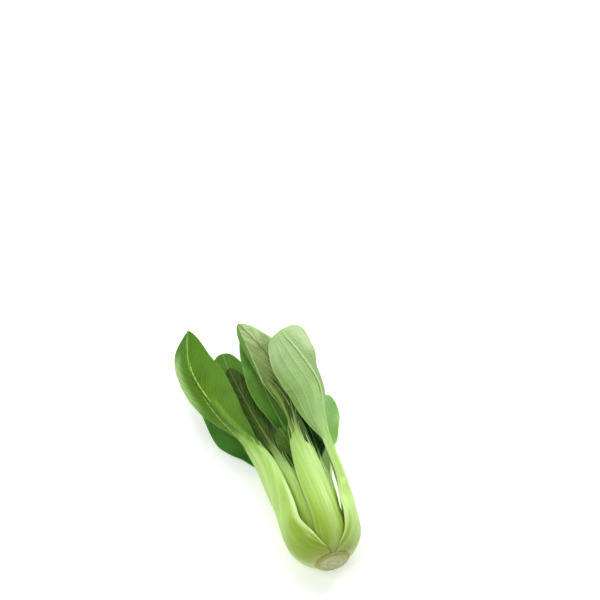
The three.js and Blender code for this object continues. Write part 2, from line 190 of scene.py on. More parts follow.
def track(stations: np.ndarray, values: Sequence[float], at: np.ndarray) -> np.ndarray:
    """Passes a smooth curve through values at stations, which never overshoots them.

    Args:
        stations: Rising places.
        values: The value at each station.
        at: Where the curve is read.

    Returns:
        The values there.
    """
    v = np.asarray(values, float)
    span = np.diff(stations)
    slope = np.diff(v) / span
    tangent = np.concatenate([slope[:1], np.zeros(len(v) - 2), slope[-1:]])
    for i in range(1, len(v) - 1):
        if slope[i - 1] * slope[i] > 0:
            before, after = 2 * span[i] + span[i - 1], span[i] + 2 * span[i - 1]
            tangent[i] = (before + after) / (before / slope[i - 1] + after / slope[i])
    x = np.clip(at, stations[0], stations[-1])
    i = np.clip(np.searchsorted(stations, x, side="right") - 1, 0, len(span) - 1)
    h = span[i]
    t = (x - stations[i]) / h
    return (
        (2 * t**3 - 3 * t**2 + 1) * v[i]
        + (t**3 - 2 * t**2 + t) * h * tangent[i]
        + (3 * t**2 - 2 * t**3) * v[i + 1]
        + (t**3 - t**2) * h * tangent[i + 1]
    )


def spline(points: Sequence[Sequence[float]], steps: int) -> np.ndarray:
    """Passes a centripetal Catmull-Rom curve through points.

    Args:
        points: The points, in order.
        steps: Samples between two of them.

    Returns:
        The samples, the last point included.
    """
    p = np.asarray(points, float)
    p = np.vstack([2 * p[0] - p[1], p, 2 * p[-1] - p[-2]])
    t = (np.arange(steps) / steps)[:, None]
    pieces = []
    for p0, p1, p2, p3 in zip(p, p[1:], p[2:], p[3:]):
        d0, d1, d2 = (np.sum((b - a) ** 2) ** 0.25 for a, b in ((p0, p1), (p1, p2), (p2, p3)))
        m1 = ((p1 - p0) / d0 - (p2 - p0) / (d0 + d1) + (p2 - p1) / d1) * d1
        m2 = ((p2 - p1) / d1 - (p3 - p1) / (d1 + d2) + (p3 - p2) / d2) * d1
        square = -3 * p1 + 3 * p2 - 2 * m1 - m2
        cube = 2 * p1 - 2 * p2 + m1 + m2
        pieces.append(p1 + m1 * t + square * t**2 + cube * t**3)
    return np.vstack([*pieces, p[-2:-1]])


Number = Union[float, "Socket"]
Setting = Union[float, Sequence[float], "Socket", bpy.types.ID, bool, str]


class Socket:
    """An output of a node, on which Python's operators add Math nodes."""

    def __init__(self, tree: "Tree", output: Optional[bpy.types.NodeSocket]) -> None:
        """Keeps the output and the tree that new nodes go to."""
        self.tree = tree
        self.output = output

    def math(self, operation: str, *values: Number) -> "Socket":
        """Adds a Math node.

        Args:
            operation: The node's operation.
            values: Its inputs, in order.

        Returns:
            The node's result.
        """
        return self.tree.node("ShaderNodeMath", {"operation": operation}, dict(enumerate(values)))

    def __add__(self, other: Number) -> "Socket":
        """Adds."""
        return self.math("ADD", self, other)

    def __radd__(self, other: Number) -> "Socket":
        """Adds to a plain number."""
        return self.math("ADD", other, self)

    def __sub__(self, other: Number) -> "Socket":
        """Subtracts."""
        return self.math("SUBTRACT", self, other)

    def __rsub__(self, other: Number) -> "Socket":
        """Subtracts from a plain number."""
        return self.math("SUBTRACT", other, self)

    def __mul__(self, other: Number) -> "Socket":
        """Multiplies."""
        return self.math("MULTIPLY", self, other)

    def __rmul__(self, other: Number) -> "Socket":
        """Multiplies a plain number."""
        return self.math("MULTIPLY", other, self)

    def __truediv__(self, other: Number) -> "Socket":
        """Divides."""
        return self.math("DIVIDE", self, other)

    def __rtruediv__(self, other: Number) -> "Socket":
        """Divides a plain number."""
        return self.math("DIVIDE", other, self)

    def __pow__(self, other: Number) -> "Socket":
        """Raises to a power."""
        return self.math("POWER", self, other)

    def __abs__(self) -> "Socket":
        """Takes the size without the sign."""
        return self.math("ABSOLUTE", self)

    def sine(self) -> "Socket":
        """Takes the sine."""
        return self.math("SINE", self)

    def nearest(self) -> "Socket":
        """Takes the distance to the nearest whole number."""
        return self.math("PINGPONG", self, 0.5)

    def whole(self) -> "Socket":
        """Drops the part after the point."""
        return self.math("FLOOR", self)

    def clip(self, low: Number = 0.0, high: Number = 1.0) -> "Socket":
        """Keeps the value between two limits."""
        return self.math("MINIMUM", self.math("MAXIMUM", self, low), high)

    def rise(self, start: Number, end: Number) -> "Socket":
        """Goes smoothly from 0 at one value to 1 at another, which may be the lower one.

        Args:
            start: Where the result is 0.
            end: Where the result is 1.

        Returns:
            The eased value.
        """
        inputs = {"Value": self, "From Min": start, "From Max": end}
        return self.tree.node("ShaderNodeMapRange", {"interpolation_type": "SMOOTHSTEP"}, inputs)


class Tree:
    """A tree of nodes, to which node adds one node a call."""

    def __init__(self, nodes: bpy.types.NodeTree) -> None:
        """Keeps Blender's own tree."""
        self.nodes = nodes

    def node(
        self,
        kind: str,
        settings: Optional[Mapping[str, Any]] = None,
        inputs: Optional[Mapping[Union[int, str], Setting]] = None,
        output: Union[int, str] = 0,
    ) -> Socket:
        """Adds a node.

        Args:
            kind: The node's type.
            settings: Its properties, set first. stops is a ramp's list of place and colour.
            inputs: Values or links of its sockets, by name or number.
            output: The output to return, by name or number.

        Returns:
            That output, or an empty one for a node that has none.
        """
        made = self.nodes.nodes.new(kind)
        for name, value in (settings or {}).items():
            if name == "stops":
                self._stops(made.color_ramp, value)
            else:
                setattr(made, name, value)
        for key, value in (inputs or {}).items():
            if isinstance(value, Socket):
                self.nodes.links.new(value.output, made.inputs[key])
            else:
                made.inputs[key].default_value = value
        return Socket(self, made.outputs[output] if made.outputs else None)

    @staticmethod
    def _stops(ramp: bpy.types.ColorRamp, stops: Sequence[tuple[float, Sequence[float]]]) -> None:
        """Sets a ramp's stops."""
        while len(ramp.elements) < len(stops):
            ramp.elements.new(1.0)
        for element, (place, colour) in zip(ramp.elements, stops):
            element.position = place
            element.color = colour


class ShaderTree(Tree):
    """A new material's tree, with the nodes that its finishes share."""

    def __init__(self, name: str) -> None:
        """Makes an empty material of the given name."""
        self.material = bpy.data.materials.new(name)
        self.material.use_nodes = True
        self.material.node_tree.nodes.clear()
        super().__init__(self.material.node_tree)

    def mix(self, factor: Number, a: Setting, b: Setting) -> Socket:
        """Mixes two colours.

        Args:
            factor: Share of the second colour.
            a: First colour.
            b: Second colour.

        Returns:
            The mixed colour.
        """
        settings = {"data_type": "RGBA", "clamp_factor": True}
        return self.node("ShaderNodeMix", settings, {0: factor, 6: a, 7: b}, 2)

    def over(self, colour: Setting, factor: Number, code: str) -> Socket:
        """Lays the colour of a code over another one.

        Args:
            colour: The colour below.
            factor: Share of the upper one.
            code: The upper one.

        Returns:
            The mixed colour.
        """
        return self.mix(factor, colour, srgb(code))

    def shade(self, colour: Setting, factor: Number) -> Socket:
        """Makes a colour darker or lighter.

        Args:
            colour: The colour.
            factor: What each channel is multiplied by.

        Returns:
            The shaded colour.
        """
        vector = colour if isinstance(colour, Socket) else colour[:3]
        return self.node("ShaderNodeVectorMath", {"operation": "SCALE"}, {0: vector, "Scale": factor})

    def attribute(self, name: str) -> Socket:
        """Reads a number that a mesh holds at its points."""
        return self.node("ShaderNodeAttribute", {"attribute_name": name}, {}, "Fac")

    def noise(self, vector: Socket, scale: float, detail: float = 3.0) -> Socket:
        """Adds soft noise between 0 and 1."""
        inputs = {"Vector": vector, "Scale": scale, "Detail": detail}
        return self.node("ShaderNodeTexNoise", {}, inputs)

    def join(self, x: Number, y: Number, z: Number = 0.0) -> Socket:
        """Makes a vector of three numbers."""
        return self.node("ShaderNodeCombineXYZ", {}, {0: x, 1: y, 2: z})

    def place(self) -> Socket:
        """Reads the place on the object, in metres."""
        return self.node("ShaderNodeTexCoord", {}, {}, "Object")

    def surface(self, values: Mapping[str, Setting]) -> bpy.types.Material:
        """Ends the tree in one Principled surface.

        Args:
            values: Values or links of the surface's sockets.

        Returns:
            The finished material.
        """
        shader = self.node("ShaderNodeBsdfPrincipled", {"subsurface_method": "RANDOM_WALK"}, values)
        self.node("ShaderNodeOutputMaterial", {}, {"Surface": shader})
        return self.material


class GrowthTree(Tree):
    """A Geometry Nodes tree with named inputs, which ends in real geometry with a material."""

    KINDS = {
        float: "NodeSocketFloat",
        int: "NodeSocketInt",
        bpy.types.Material: "NodeSocketMaterial",
    }

    def __init__(self, name: str, inputs: Mapping[str, Union[float, int, bpy.types.Material]]) -> None:
        """Makes the tree and its inputs.

        Args:
            name: The tree's name.
            inputs: A value for each named input.
        """
        super().__init__(bpy.data.node_groups.new(name, "GeometryNodeTree"))
        self.values = dict(inputs)
        face = self.nodes.interface
        face.new_socket("Geometry", in_out="INPUT", socket_type="NodeSocketGeometry")
        face.new_socket("Geometry", in_out="OUTPUT", socket_type="NodeSocketGeometry")
        for key, value in inputs.items():
            face.new_socket(key, in_out="INPUT", socket_type=self.KINDS[type(value)])

    def entry(self, name: str = "Geometry") -> Socket:
        """Reads one of the tree's inputs."""
        return self.node("NodeGroupInput", {}, {}, name)

    def finish(self, geometry: Socket) -> None:
        """Turns instances into real geometry, gives it the material and ends the tree.

        Args:
            geometry: What the tree has made.
        """
        real = self.node("GeometryNodeRealizeInstances", {}, {0: geometry})
        smooth = self.node("GeometryNodeSetShadeSmooth", {}, {0: real})
        look = {0: smooth, "Material": self.entry("Material")}
        self.node("NodeGroupOutput", {}, {0: self.node("GeometryNodeSetMaterial", {}, look)})

    def grow(self, name: str, seed: bpy.types.Mesh) -> bpy.types.Object:
        """Runs the tree on a mesh.

        Args:
            name: The new piece's name.
            seed: The mesh that the tree starts from.

        Returns:
            A piece with the result as a plain mesh.
        """
        carrier = bpy.data.objects.new(name + "_seed", seed)
        bpy.context.scene.collection.objects.link(carrier)
        modifier = carrier.modifiers.new("growth", "NODES")
        modifier.node_group = self.nodes
        for item in self.nodes.interface.items_tree:
            if item.in_out == "INPUT" and item.name in self.values:
                modifier[item.identifier] = self.values[item.name]
        graph = bpy.context.evaluated_depsgraph_get()
        mesh = bpy.data.meshes.new_from_object(carrier.evaluated_get(graph))
        mesh.name = name
        carrier.modifiers.remove(modifier)
        bpy.data.objects.remove(carrier)
        return add_piece(name, mesh)


def add_piece(name: str, mesh: bpy.types.Mesh) -> bpy.types.Object:
    """Links a mesh to the scene as an object at the origin.

    Args:
        name: The object's name.
        mesh: Its mesh, in metres in the frame.

    Returns:
        The object.
    """
    piece = bpy.data.objects.new(name, mesh)
    bpy.context.scene.collection.objects.link(piece)
    return piece


def make_mesh(
    name: str,
    points: np.ndarray,
    faces: Sequence[Sequence[int]],
    edges: Sequence[Sequence[int]] = (),
    numbers: Optional[Mapping[str, np.ndarray]] = None,
) -> bpy.types.Mesh:
    """Makes a smooth mesh whose points hold named numbers.

    Args:
        name: The mesh's name.
        points: Places in metres.
        faces: Corner numbers of each face.
        edges: Loose edges, for a mesh of paths.
        numbers: A value for each point, by attribute name.

    Returns:
        The mesh.
    """
    mesh = bpy.data.meshes.new(name)
    mesh.from_pydata(points.tolist(), edges, faces)
    mesh.polygons.foreach_set("use_smooth", [True] * len(mesh.polygons))
    for key, values in (numbers or {}).items():
        store = mesh.attributes.new(key, "FLOAT", "POINT")
        store.data.foreach_set("value", np.asarray(values, np.float32).ravel())
    mesh.update()
    return mesh


def axis_origin() -> np.ndarray:
    """Finds the axis's start at the stalks' feet, in metres, from the box of the cut stem."""
    low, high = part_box("base")
    return np.array([(low.x + high.x) / 2, low.y + CutStem.depth * MM, (low.z + high.z) / 2])


class Ring(Enum):
    """A ring of stalks: radius of their inner faces in the bulb, and their thickness there."""

    OUTER = (20.2, 5.0)
    SECOND = (15.2, 4.5)
    THIRD = (10.7, 4.0)
    INNER = (6.8, 3.4)


class Fineness(Enum):
    """Columns and rows of a leaf's mesh."""

    FINE = (96, 260)
    PLAIN = (60, 160)


class Slot(Enum):
    """Names of the material slots."""

    STEM = "cut_stem"
    STALK = "stalk"
    BRIGHT = "bright_blade"
    PALE = "pale_blade"
    DARK = "dark_blade"


@dataclass(frozen=True)
class VeinRule:
    """How the side veins run and follow one another, in millimetres.

    Attributes:
        spacing: Distance between two veins along the midrib.
        spread: How far from the midrib a vein is one millimetre past its root.
        power: How it then turns outwards, from 1 for a straight one.
        jitter: How uneven the spacing is, in spacings.
        wobble: How far the veins wander.
        fan: The share of the half width between two veins that all start at the neck and follow the
            margin. It is 0 where they leave the midrib one after another.
        rung: Distance between the cross veins of a fan.
        pucker: How far the blade bulges between two veins.
    """

    spacing: float = 5.8
    spread: float = 0.34
    power: float = 1.22
    jitter: float = 0.24
    wobble: float = 0.7
    fan: float = 0.0
    rung: float = 1.8
    pucker: float = 0.2

    def drift(self, along: Any, right: Any, sine: Callable[[Any], Any]) -> Any:
        """Gives how far the veins of a fan wander, in spacings.

        Args:
            along: Distance from the blade's start.
            right: 1 on the right half and 0 on the left.
            sine: The sine for these values, which are arrays or sockets.

        Returns:
            The drift.
        """
        return sine(along / 14.0 + right * 2.0) * self.jitter

    def number(
        self, along: Any, across: Any, edge: Any, right: Any, sine: Callable[[Any], Any]
    ) -> Any:
        """Gives a number that is whole on a side vein and grows by one to the next.

        Args:
            along: Distance from the blade's start.
            across: Distance from the midrib.
            edge: The same, as a share of the half width.
            right: 1 on the right half and 0 on the left.
            sine: The sine for these values, which are arrays or sockets.

        Returns:
            The vein's number.
        """
        if self.fan:
            return edge / self.fan + self.drift(along, right, sine)
        # The vein's root on the midrib; slow sines let it wander and keep the spacing uneven.
        root = along - (across / self.spread) ** (1 / self.power)
        root = root + sine(across / 5.0 + along / 9.0 + right * 2.0) * self.wobble
        return root / self.spacing + sine(root / 4.3 + right * 1.7) * self.jitter + right * 0.5


@dataclass(frozen=True)
class CombRule:
    """The pale veins that run out of a stalk's top into the blade, side by side, in millimetres.

    Attributes:
        lines: Their number on each half.
        growth: They are twice as far apart this far up the blade.
        reach: Their mean length.
        spread: How uneven their lengths are.
        slant: How much shorter each line is than the one before it, from the midrib.
        start: Where the green starts between them on the left half and the right, past the
            blade's start.
        depth: How far past that the stalk's colour narrows.
        hold: The share of the midrib that keeps it there.
    """

    lines: int = 5
    growth: float = 24.0
    reach: float = 17.0
    spread: float = 4.0
    slant: float = 0.0
    start: tuple[float, float] = (-2.0, -2.0)
    depth: float = 24.0
    hold: float = 0.55

    def width(self, along: np.ndarray, stalk: np.ndarray, neck: float) -> np.ndarray:
        """Gives the width that the lines of one half take up.

        Args:
            along: Distance from the blade's start.
            stalk: Half width of the stalk or midrib there.
            neck: Half width of the stalk at the neck.

        Returns:
            The width.
        """
        return np.maximum(stalk, neck * (1 + (along - BLADE_LEAD) / self.growth))

    def length(self, line: Any, right: Any, sine: Callable[[Any], Any]) -> Any:
        """Gives a line's length past the start of the green.

        Args:
            line: Its number, from 0 at the midrib.
            right: 1 on the right half and 0 on the left.
            sine: The sine for these values, which are numbers or sockets.

        Returns:
            The length.
        """
        return sine(line * 2.4 + right * 1.9) * self.spread + self.reach - line * self.slant


class LeafPlace:
    """Where a point is on its leaf, read from the mesh, and the noise that its colours share."""

    def __init__(self, tree: ShaderTree, comb: CombRule) -> None:
        """Adds the nodes that read the mesh's numbers.

        Args:
            tree: The leaf's material.
            comb: The rule that the veins at the stalk's top follow.
        """
        self.tree = tree
        read = tree.attribute
        self.across, self.along, self.from_stem = map(read, ("across", "along", "from_stem"))
        self.rib, self.back, self.edge = map(read, ("rib", "back", "edge"))
        self.share, self.teeth = map(read, ("blade", "comb"))
        self.right = self.across.math("GREATER_THAN", self.across, 0.0)
        self.side = abs(self.across)
        left, right = comb.start
        self.past = self.along - (self.right * (right - left) + left)
        place = tree.join(self.side * 0.05, self.along * 0.04, self.right * 3.0)
        self.patches = tree.noise(place, 1.6, 4.0)
        self.grain = tree.noise(tree.join(self.across * 0.55, self.along * 0.55), 2.0, 4.0)
        self.streaks = tree.noise(tree.join(self.across * 0.5, self.along * 0.012), 1.0, 3.0)
        # Broad lengthwise bands that carry the stalks' painted highlights.
        self.sheen_bands = tree.noise(tree.join(self.across * 0.2, self.along * 0.008, 5.0), 1.0, 1.0)

    @property
    def left(self) -> Socket:
        """1 on the left half and 0 on the right."""
        return 1 - self.right


@dataclass(frozen=True)
class StalkFinish:
    """Colours of the fleshy stalks.

    Attributes:
        stops: Distance from the stem and colour there.
        streak_and_sheen: Colour of the pale lengthwise streaks, and of the painted highlights on broad
            bands.
        seam: Brown of the feet's margins and of the line round the stem.
        lip: Pale yellow of the margins above that.
        young: Colour of the pale veins at the stalk's top.
        roughness: Roughness of the waxy skin.
        coat: Strength of its gloss.
    """

    stops: tuple[tuple[float, str], ...] = (
        (0.0, "b4b878"),
        (3.0, "9cae46"),
        (9.0, "8dab2e"),
        (24.0, "94b836"),
        (40.0, "a8d056"),
        (62.0, "b0d86c"),
        (84.0, "a8d46a"),
        (100.0, "a2cf66"),
        (190.0, "a6cf6c"),
    )
    streak_and_sheen: str = "dcefae"
    seam: str = "7c6c24"
    lip: str = "dcea9c"
    young: str = "b2d67c"
    roughness: float = 0.32
    coat: float = 0.4

    def colour(self, at: LeafPlace) -> Socket:
        """Adds the nodes of a stalk's colour.

        Args:
            at: The place on the leaf.

        Returns:
            The colour.
        """
        tree = at.tree
        span = self.stops[-1][0]
        stops = [(place / span, srgb(code)) for place, code in self.stops]
        skin = tree.node("ShaderNodeValToRGB", {"stops": stops}, {0: at.from_stem / span})
        # The broad bands are painted highlights, lighter where they rise; the finer streaks vary the
        # skin's own tone.
        skin = tree.shade(skin, 0.8 + at.streaks * 0.2 + at.sheen_bands * 0.24)
        pale = at.streaks.rise(0.55, 0.8) * 0.35 + at.sheen_bands.rise(0.5, 0.75) * 0.35
        skin = tree.over(skin, pale, self.streak_and_sheen)
        bead = at.rib.rise(0.84, 0.94) * at.from_stem.rise(10.0, 30.0)
        skin = tree.over(skin, bead * 0.45, self.streak_and_sheen)
        margin = at.rib.rise(0.96, 0.995)
        lip = margin * at.from_stem.rise(3.0, 8.0) * at.from_stem.rise(70.0, 35.0)
        skin = tree.over(skin, lip * 0.5, self.lip)
        foot = at.from_stem.rise(1.5, 0.2) * at.grain.rise(0.3, 0.62)
        dry = margin * at.from_stem.rise(9.0, 1.0) * 0.8 + foot * 0.7
        return tree.over(skin, dry.clip(), self.seam)


STALK = StalkFinish()
SHINE = "b4dc84"  # painted highlight where a blade's curled margin catches the light
RIDGE_HIGHLIGHT = "dcf2a8"  # painted highlight along the crest of a stalk's broadest ridge
LAP_SLOPE, LAP_START = 0.011, 1.54  # how the line of a curled margin crosses a blade
MARK_FADE = 10.0  # a mark fades out over this length, or over a third of its own
LEAF_DEPTH = {"Subsurface Weight": 0.2, "Subsurface Radius": (0.8, 1.0, 0.35)}  # light inside a leaf


@dataclass(frozen=True)
class Mark:
    """A soft line along a leaf, in millimetres.

    Attributes:
        colour: Its colour.
        across: Its signed distance from the midrib's middle at its lower end and at its upper end.
        half: Its half width.
        ends: Its lower and upper end, from the blade's start.
        strength: Its strength.
    """

    colour: str
    across: tuple[float, float]
    half: float
    ends: tuple[float, float]
    strength: float = 0.7

    def over(self, at: LeafPlace, colour: Socket) -> Socket:
        """Adds the nodes that lay the line over a colour.

        Args:
            at: The place on the leaf.
            colour: The leaf's colour so far.

        Returns:
            The colour with the line.
        """
        (x, x_end), (low, high) = self.across, self.ends
        side = abs(at.across - (at.along - low) * ((x_end - x) / (high - low)) - x)
        fade = min(MARK_FADE, (high - low) / 3)
        line = side.rise(self.half * 1.3, self.half * 0.3) * at.along.rise(low, low + fade)
        line = line * at.along.rise(high, high - fade)
        return at.tree.over(colour, line * self.strength, self.colour)


@dataclass(frozen=True)
class LeafFinish:
    """Colours and gloss of one leaf, from the stalk's foot to the blade's tip.

    Attributes:
        outer: Colour of the blade's under side, which faces out of the bunch.
        inner: Colour of the blade's upper side.
        vein: Colour of the side veins.
        deep: Colour of the blade's darker patches, and of the painted shade at its foot, where its left
            half turns away and beside its side veins.
        tip: Colour that the blade takes on towards its tip.
        ridge: Colour that the midrib fades to.
        lines: Strength of the side veins.
        shadow: Strength of the dark lines beside them.
        net: Strength of the fine net between them.
        foot: Strength of the painted shade at the blade's foot, down in the bunch.
        foot_reach: How far up that goes, in millimetres.
        rim: How pale the blade's margin is.
        lit: Strength of the painted highlight on the left half near its margin.
        dusk: Strength of the painted shade on the left half near its margin, low on the blade.
        lap: How far the left margin, which curls over near the tip, shows its other side.
        roughness: Roughness of the blade.
        stalk: Brightness of the stalk, 1 for a well lit one.
        marks: Lines that only this leaf has, such as painted highlights on its stalk's ridges and
            painted light and shade along its midrib.
        crease: Colour of the thin line along the midrib's middle, where no mark takes its place.
    """

    outer: str
    inner: str
    vein: str
    deep: str
    tip: str
    ridge: str
    lines: float = 0.2
    shadow: float = 0.3
    net: float = 0.15
    foot: float = 0.3
    foot_reach: float = 55.0
    rim: float = 0.3
    lit: float = 0.0
    dusk: float = 0.0
    lap: float = 0.0
    roughness: float = 0.45
    stalk: float = 1.0
    marks: tuple[Mark, ...] = ()
    crease: str = ""

    def side_veins(self, at: LeafPlace, veins: VeinRule) -> tuple[Socket, Socket]:
        """Adds the nodes of the side veins and of the fine net between them.

        Args:
            at: The place on the leaf.
            veins: The rule that the side veins follow.

        Returns:
            The strength of the pale lines, and of the dark ones beside them.
        """
        number = veins.number(at.along, at.side, at.edge, at.right, Socket.sine)
        if veins.fan:
            rungs = at.along / veins.rung + number.nearest() * 3.0
            grid = at.tree.join(number * 5.0, at.along * 0.7, at.right * 7.0)
        else:
            rungs = number * 5.0
            grid = at.tree.join(number * 2.2, at.side * 0.5, at.along * 0.1 + at.right * 7.0)
        to_edge = {"feature": "DISTANCE_TO_EDGE"}
        cells = at.tree.node("ShaderNodeTexVoronoi", to_edge, {"Vector": grid, "Scale": 1.0})
        net = cells.rise(0.11, 0.0)
        hatch = (rungs + at.grain * 0.5).nearest().rise(0.5, 0.0)
        # They fade out at the margin and at the blade's foot.
        fade = (1 - at.edge).clip() ** 0.4 * at.past.rise(5.0, 15.0)
        line = number.nearest().rise(0.10, 0.0) * self.lines
        pale = (line + hatch * self.net * 0.4 + net * self.net * 0.6) * fade
        dark = (number - 0.13).nearest().rise(0.1, 0.0) * fade * self.shadow
        return pale.clip(), dark

    def blade(self, at: LeafPlace, pale: Socket, dark: Socket) -> Socket:
        """Adds the nodes of the blade's colour.

        Args:
            at: The place on the leaf.
            pale: Strength of the pale veins.
            dark: Strength of the dark lines beside them.

        Returns:
            The colour.
        """
        tree = at.tree
        colour = tree.mix(at.back, srgb(self.inner), srgb(self.outer))
        colour = tree.over(colour, at.share.rise(0.45, 1.0), self.tip)
        # Random darker patches, and painted shade over the blade's foot, down in the bunch.
        low = at.along.rise(self.foot_reach, 8.0) * self.foot
        colour = tree.over(colour, (at.patches.rise(0.42, 0.7) * 0.5 + low).clip(), self.deep)
        if self.lit:  # painted highlight: a broken band where the left half turns up to the light
            band = at.left * at.edge.rise(0.3, 0.85) * at.share.rise(0.38, 0.6)
            band = band * at.share.rise(0.9, 0.76) * (0.6 + at.streaks * 0.7)
            colour = tree.over(colour, band * self.lit, SHINE)
        if self.dusk:  # painted shade: a dark band where it turns away from the light
            band = at.left * at.edge.rise(0.3, 0.95) * at.share.rise(0.7, 0.3)
            colour = tree.over(colour, band * self.dusk, self.deep)
        colour = tree.over(colour, dark, self.deep)
        colour = tree.over(colour, pale * (1 - low * 0.7), self.vein)
        colour = tree.over(colour, at.edge.rise(0.955, 0.995) * self.rim, self.vein)
        if self.lap:  # the curled margin in the other side's colour, with a pale line along its fold
            fold = at.edge + at.along * LAP_SLOPE - LAP_START
            colour = tree.over(colour, fold.rise(0.0, 0.04) * at.left * self.lap, self.inner)
            seam = abs(fold).rise(0.06, 0.01) * at.left * at.streaks.rise(0.2, 0.6) * self.lap
            colour = tree.over(colour, seam, self.vein)
        return tree.shade(colour, 0.84 + at.grain * 0.16 + at.streaks * 0.16)

    def green(self, at: LeafPlace, comb: CombRule) -> Socket:
        """Adds the nodes that say where the leaf is green: beside the midrib and between the comb.

        Args:
            at: The place on the leaf.
            comb: The rule that the veins at the stalk's top follow.

        Returns:
            1 on the blade and 0 on the stalk.
        """
        # The stalk's colour narrows to the midrib's core, and each pale vein narrows to a point.
        hold = at.past.rise(comb.depth, 0.0) * (1 - comb.hold) + comb.hold
        core = (at.rib + (at.grain - 0.5) * 0.2).rise(hold * 1.2, hold * 0.75)
        length = comb.length(at.teeth.whole(), at.right, Socket.sine)
        taper = (1 - at.past / length).clip()
        tooth = (at.teeth + 0.5).nearest().rise(taper * 0.14 + 0.16, taper * 0.08 + 0.04)
        tooth = tooth * taper.rise(0.0, 0.25) * at.teeth.rise(comb.lines + 0.4, comb.lines - 0.2)
        return (1 - core) * at.past.rise(-1.0, 4.0) * (1 - tooth)

    def build(self, name: str, veins: VeinRule, comb: CombRule) -> bpy.types.Material:
        """Builds the leaf's material.

        Args:
            name: The material's name.
            veins: The rule that the side veins follow.
            comb: The rule that the veins at the stalk's top follow.

        Returns:
            The material.
        """
        tree = ShaderTree(name)
        at = LeafPlace(tree, comb)
        pale, dark = self.side_veins(at, veins)
        green = self.green(at, comb)
        stalk = tree.shade(STALK.colour(at), self.stalk)
        ridge = tree.shade(srgb(self.ridge), 0.85 + at.streaks * 0.3)
        stalk = tree.mix(at.past.rise(0.0, 34.0), stalk, ridge)
        colour = tree.mix(green, stalk, self.blade(at, pale, dark))
        if self.crease:
            crease = at.side.rise(0.4, 0.1) * at.past.rise(18.0, 42.0) * 0.85
            colour = tree.over(colour, crease, self.crease)
        for mark in self.marks:
            colour = mark.over(at, colour)

        # The veins stand out on the under side and are grooves on the upper one.
        height = at.grain * 0.02 + at.streaks * (1 - green) * 0.12
        height = height + pale * green * (at.back * 0.16 - 0.06)
        bump = tree.node("ShaderNodeBump", {}, {"Strength": 0.5, "Distance": MM, "Height": height})
        shine = green * self.roughness + (1 - green) * STALK.roughness + at.grain * 0.12
        return tree.surface(
            {
                "Base Color": colour,
                "Roughness": shine.clip(0.15, 0.9),
                "Normal": bump,
                "Specular IOR Level": 0.12,
                "Subsurface Scale": 2.5 * MM,
                **LEAF_DEPTH,
                "Coat Weight": (1 - green) * STALK.coat,
                "Coat Roughness": 0.22,
            }
        )

    def build_veins(self, name: str) -> bpy.types.Material:
        """Builds the material of the raised veins, which turn green as they thin out.

        Args:
            name: The material's name.

        Returns:
            The material.
        """
        tree = ShaderTree(name)
        reach, along, pale = map(tree.attribute, ("reach", "along", "pale"))
        grain = tree.noise(tree.join(reach * 9.0, along * 0.4), 2.0)
        young = tree.shade(srgb(STALK.young), self.stalk)
        root = tree.mix(pale, tree.mix(self.lines, srgb(self.outer), srgb(self.vein)), young)
        green = (reach.rise(0.2, 1.0) + (grain - 0.5) * 0.3).clip()
        colour = tree.over(root, green, self.outer)
        return tree.surface(
            {
                "Base Color": colour,
                "Roughness": (0.34 + grain * 0.2).clip(),
                "Specular IOR Level": 0.22,
                "Subsurface Scale": 1.5 * MM,
                **LEAF_DEPTH,
            }
        )


@dataclass(frozen=True)
class StemFinish:
    """Colours of the short cut stem.

    Attributes:
        flesh: Colour of the cut face.
        ring: Colour of the rings that the stalks' feet leave on it.
        skin: Colour of the stem's side.
        bruise: Brown of the dried rim.
        dot: Colour of the vessels' ends.
    """

    flesh: str = "c8ca9c"
    ring: str = "bcc488"
    skin: str = "a8b04c"
    bruise: str = "8c7a30"
    dot: str = "a4a868"

    def build(self) -> bpy.types.Material:
        """Builds the stem's material."""
        tree = ShaderTree("cut_stem")
        radius, facing = map(tree.attribute, ("radius", "facing"))
        place = tree.place()
        grain = tree.noise(place, 1400.0, 5.0)
        blotch = tree.noise(place, 260.0, 3.0)
        warped = radius + (blotch - 0.5) * 2.2
        rings = (warped / 2.1).nearest().rise(0.13, 0.0) * 0.6
        cut = tree.over(srgb(self.flesh), rings, self.ring)
        cut = tree.over(cut, grain.rise(0.55, 0.75) * 0.35, self.ring)
        side = tree.over(srgb(self.skin), blotch.rise(0.4, 0.7), self.ring)
        colour = tree.mix(facing.rise(0.3, 0.9), side, cut)
        rim = (warped.rise(8.6, 9.8) * (1 - facing * 0.4) * blotch.rise(0.35, 0.6)).clip()
        colour = tree.over(colour, rim * 0.5, self.bruise)
        height = grain * 0.15 + blotch * 0.3 - rings * 0.15
        bump = {"Strength": 0.6, "Distance": MM, "Height": height}
        return tree.surface(
            {
                "Base Color": colour,
                "Roughness": (0.5 + grain * 0.25).clip(),
                "Specular IOR Level": 0.3,
                "Normal": tree.node("ShaderNodeBump", {}, bump),
                "Subsurface Weight": 0.3,
                "Subsurface Radius": (1.0, 0.9, 0.5),
                "Subsurface Scale": 3 * MM,
            }
        )

    def build_vessels(self) -> bpy.types.Material:
        """Builds the material of the vessels' ends."""
        tree = ShaderTree("vessel_ends")
        grain = tree.noise(tree.place(), 3000.0)
        colour = tree.over(srgb(self.dot), grain, self.ring)
        return tree.surface({"Base Color": colour, "Roughness": 0.6})


@dataclass(frozen=True)
class FloorFinish:
    """A plain pale floor.

    Attributes:
        colour: Its colour.
        cloud: Colour of its faint clouds.
        roughness: Its roughness.
        glow: Light that it gives off, like a light table.
    """

    colour: str = "f4f5f3"
    cloud: str = "eceeea"
    roughness: float = 0.55
    glow: float = 0.36

    def build(self) -> bpy.types.Material:
        """Builds the floor's material."""
        tree = ShaderTree("pale_floor")
        clouds = tree.noise(tree.place(), 6.0, 2.0)
        colour = tree.over(srgb(self.colour), clouds * 0.25, self.cloud)
        glow = {"Emission Color": (1.0, 1.0, 1.0, 1.0), "Emission Strength": self.glow}
        return tree.surface({"Base Color": colour, "Roughness": self.roughness, **glow})


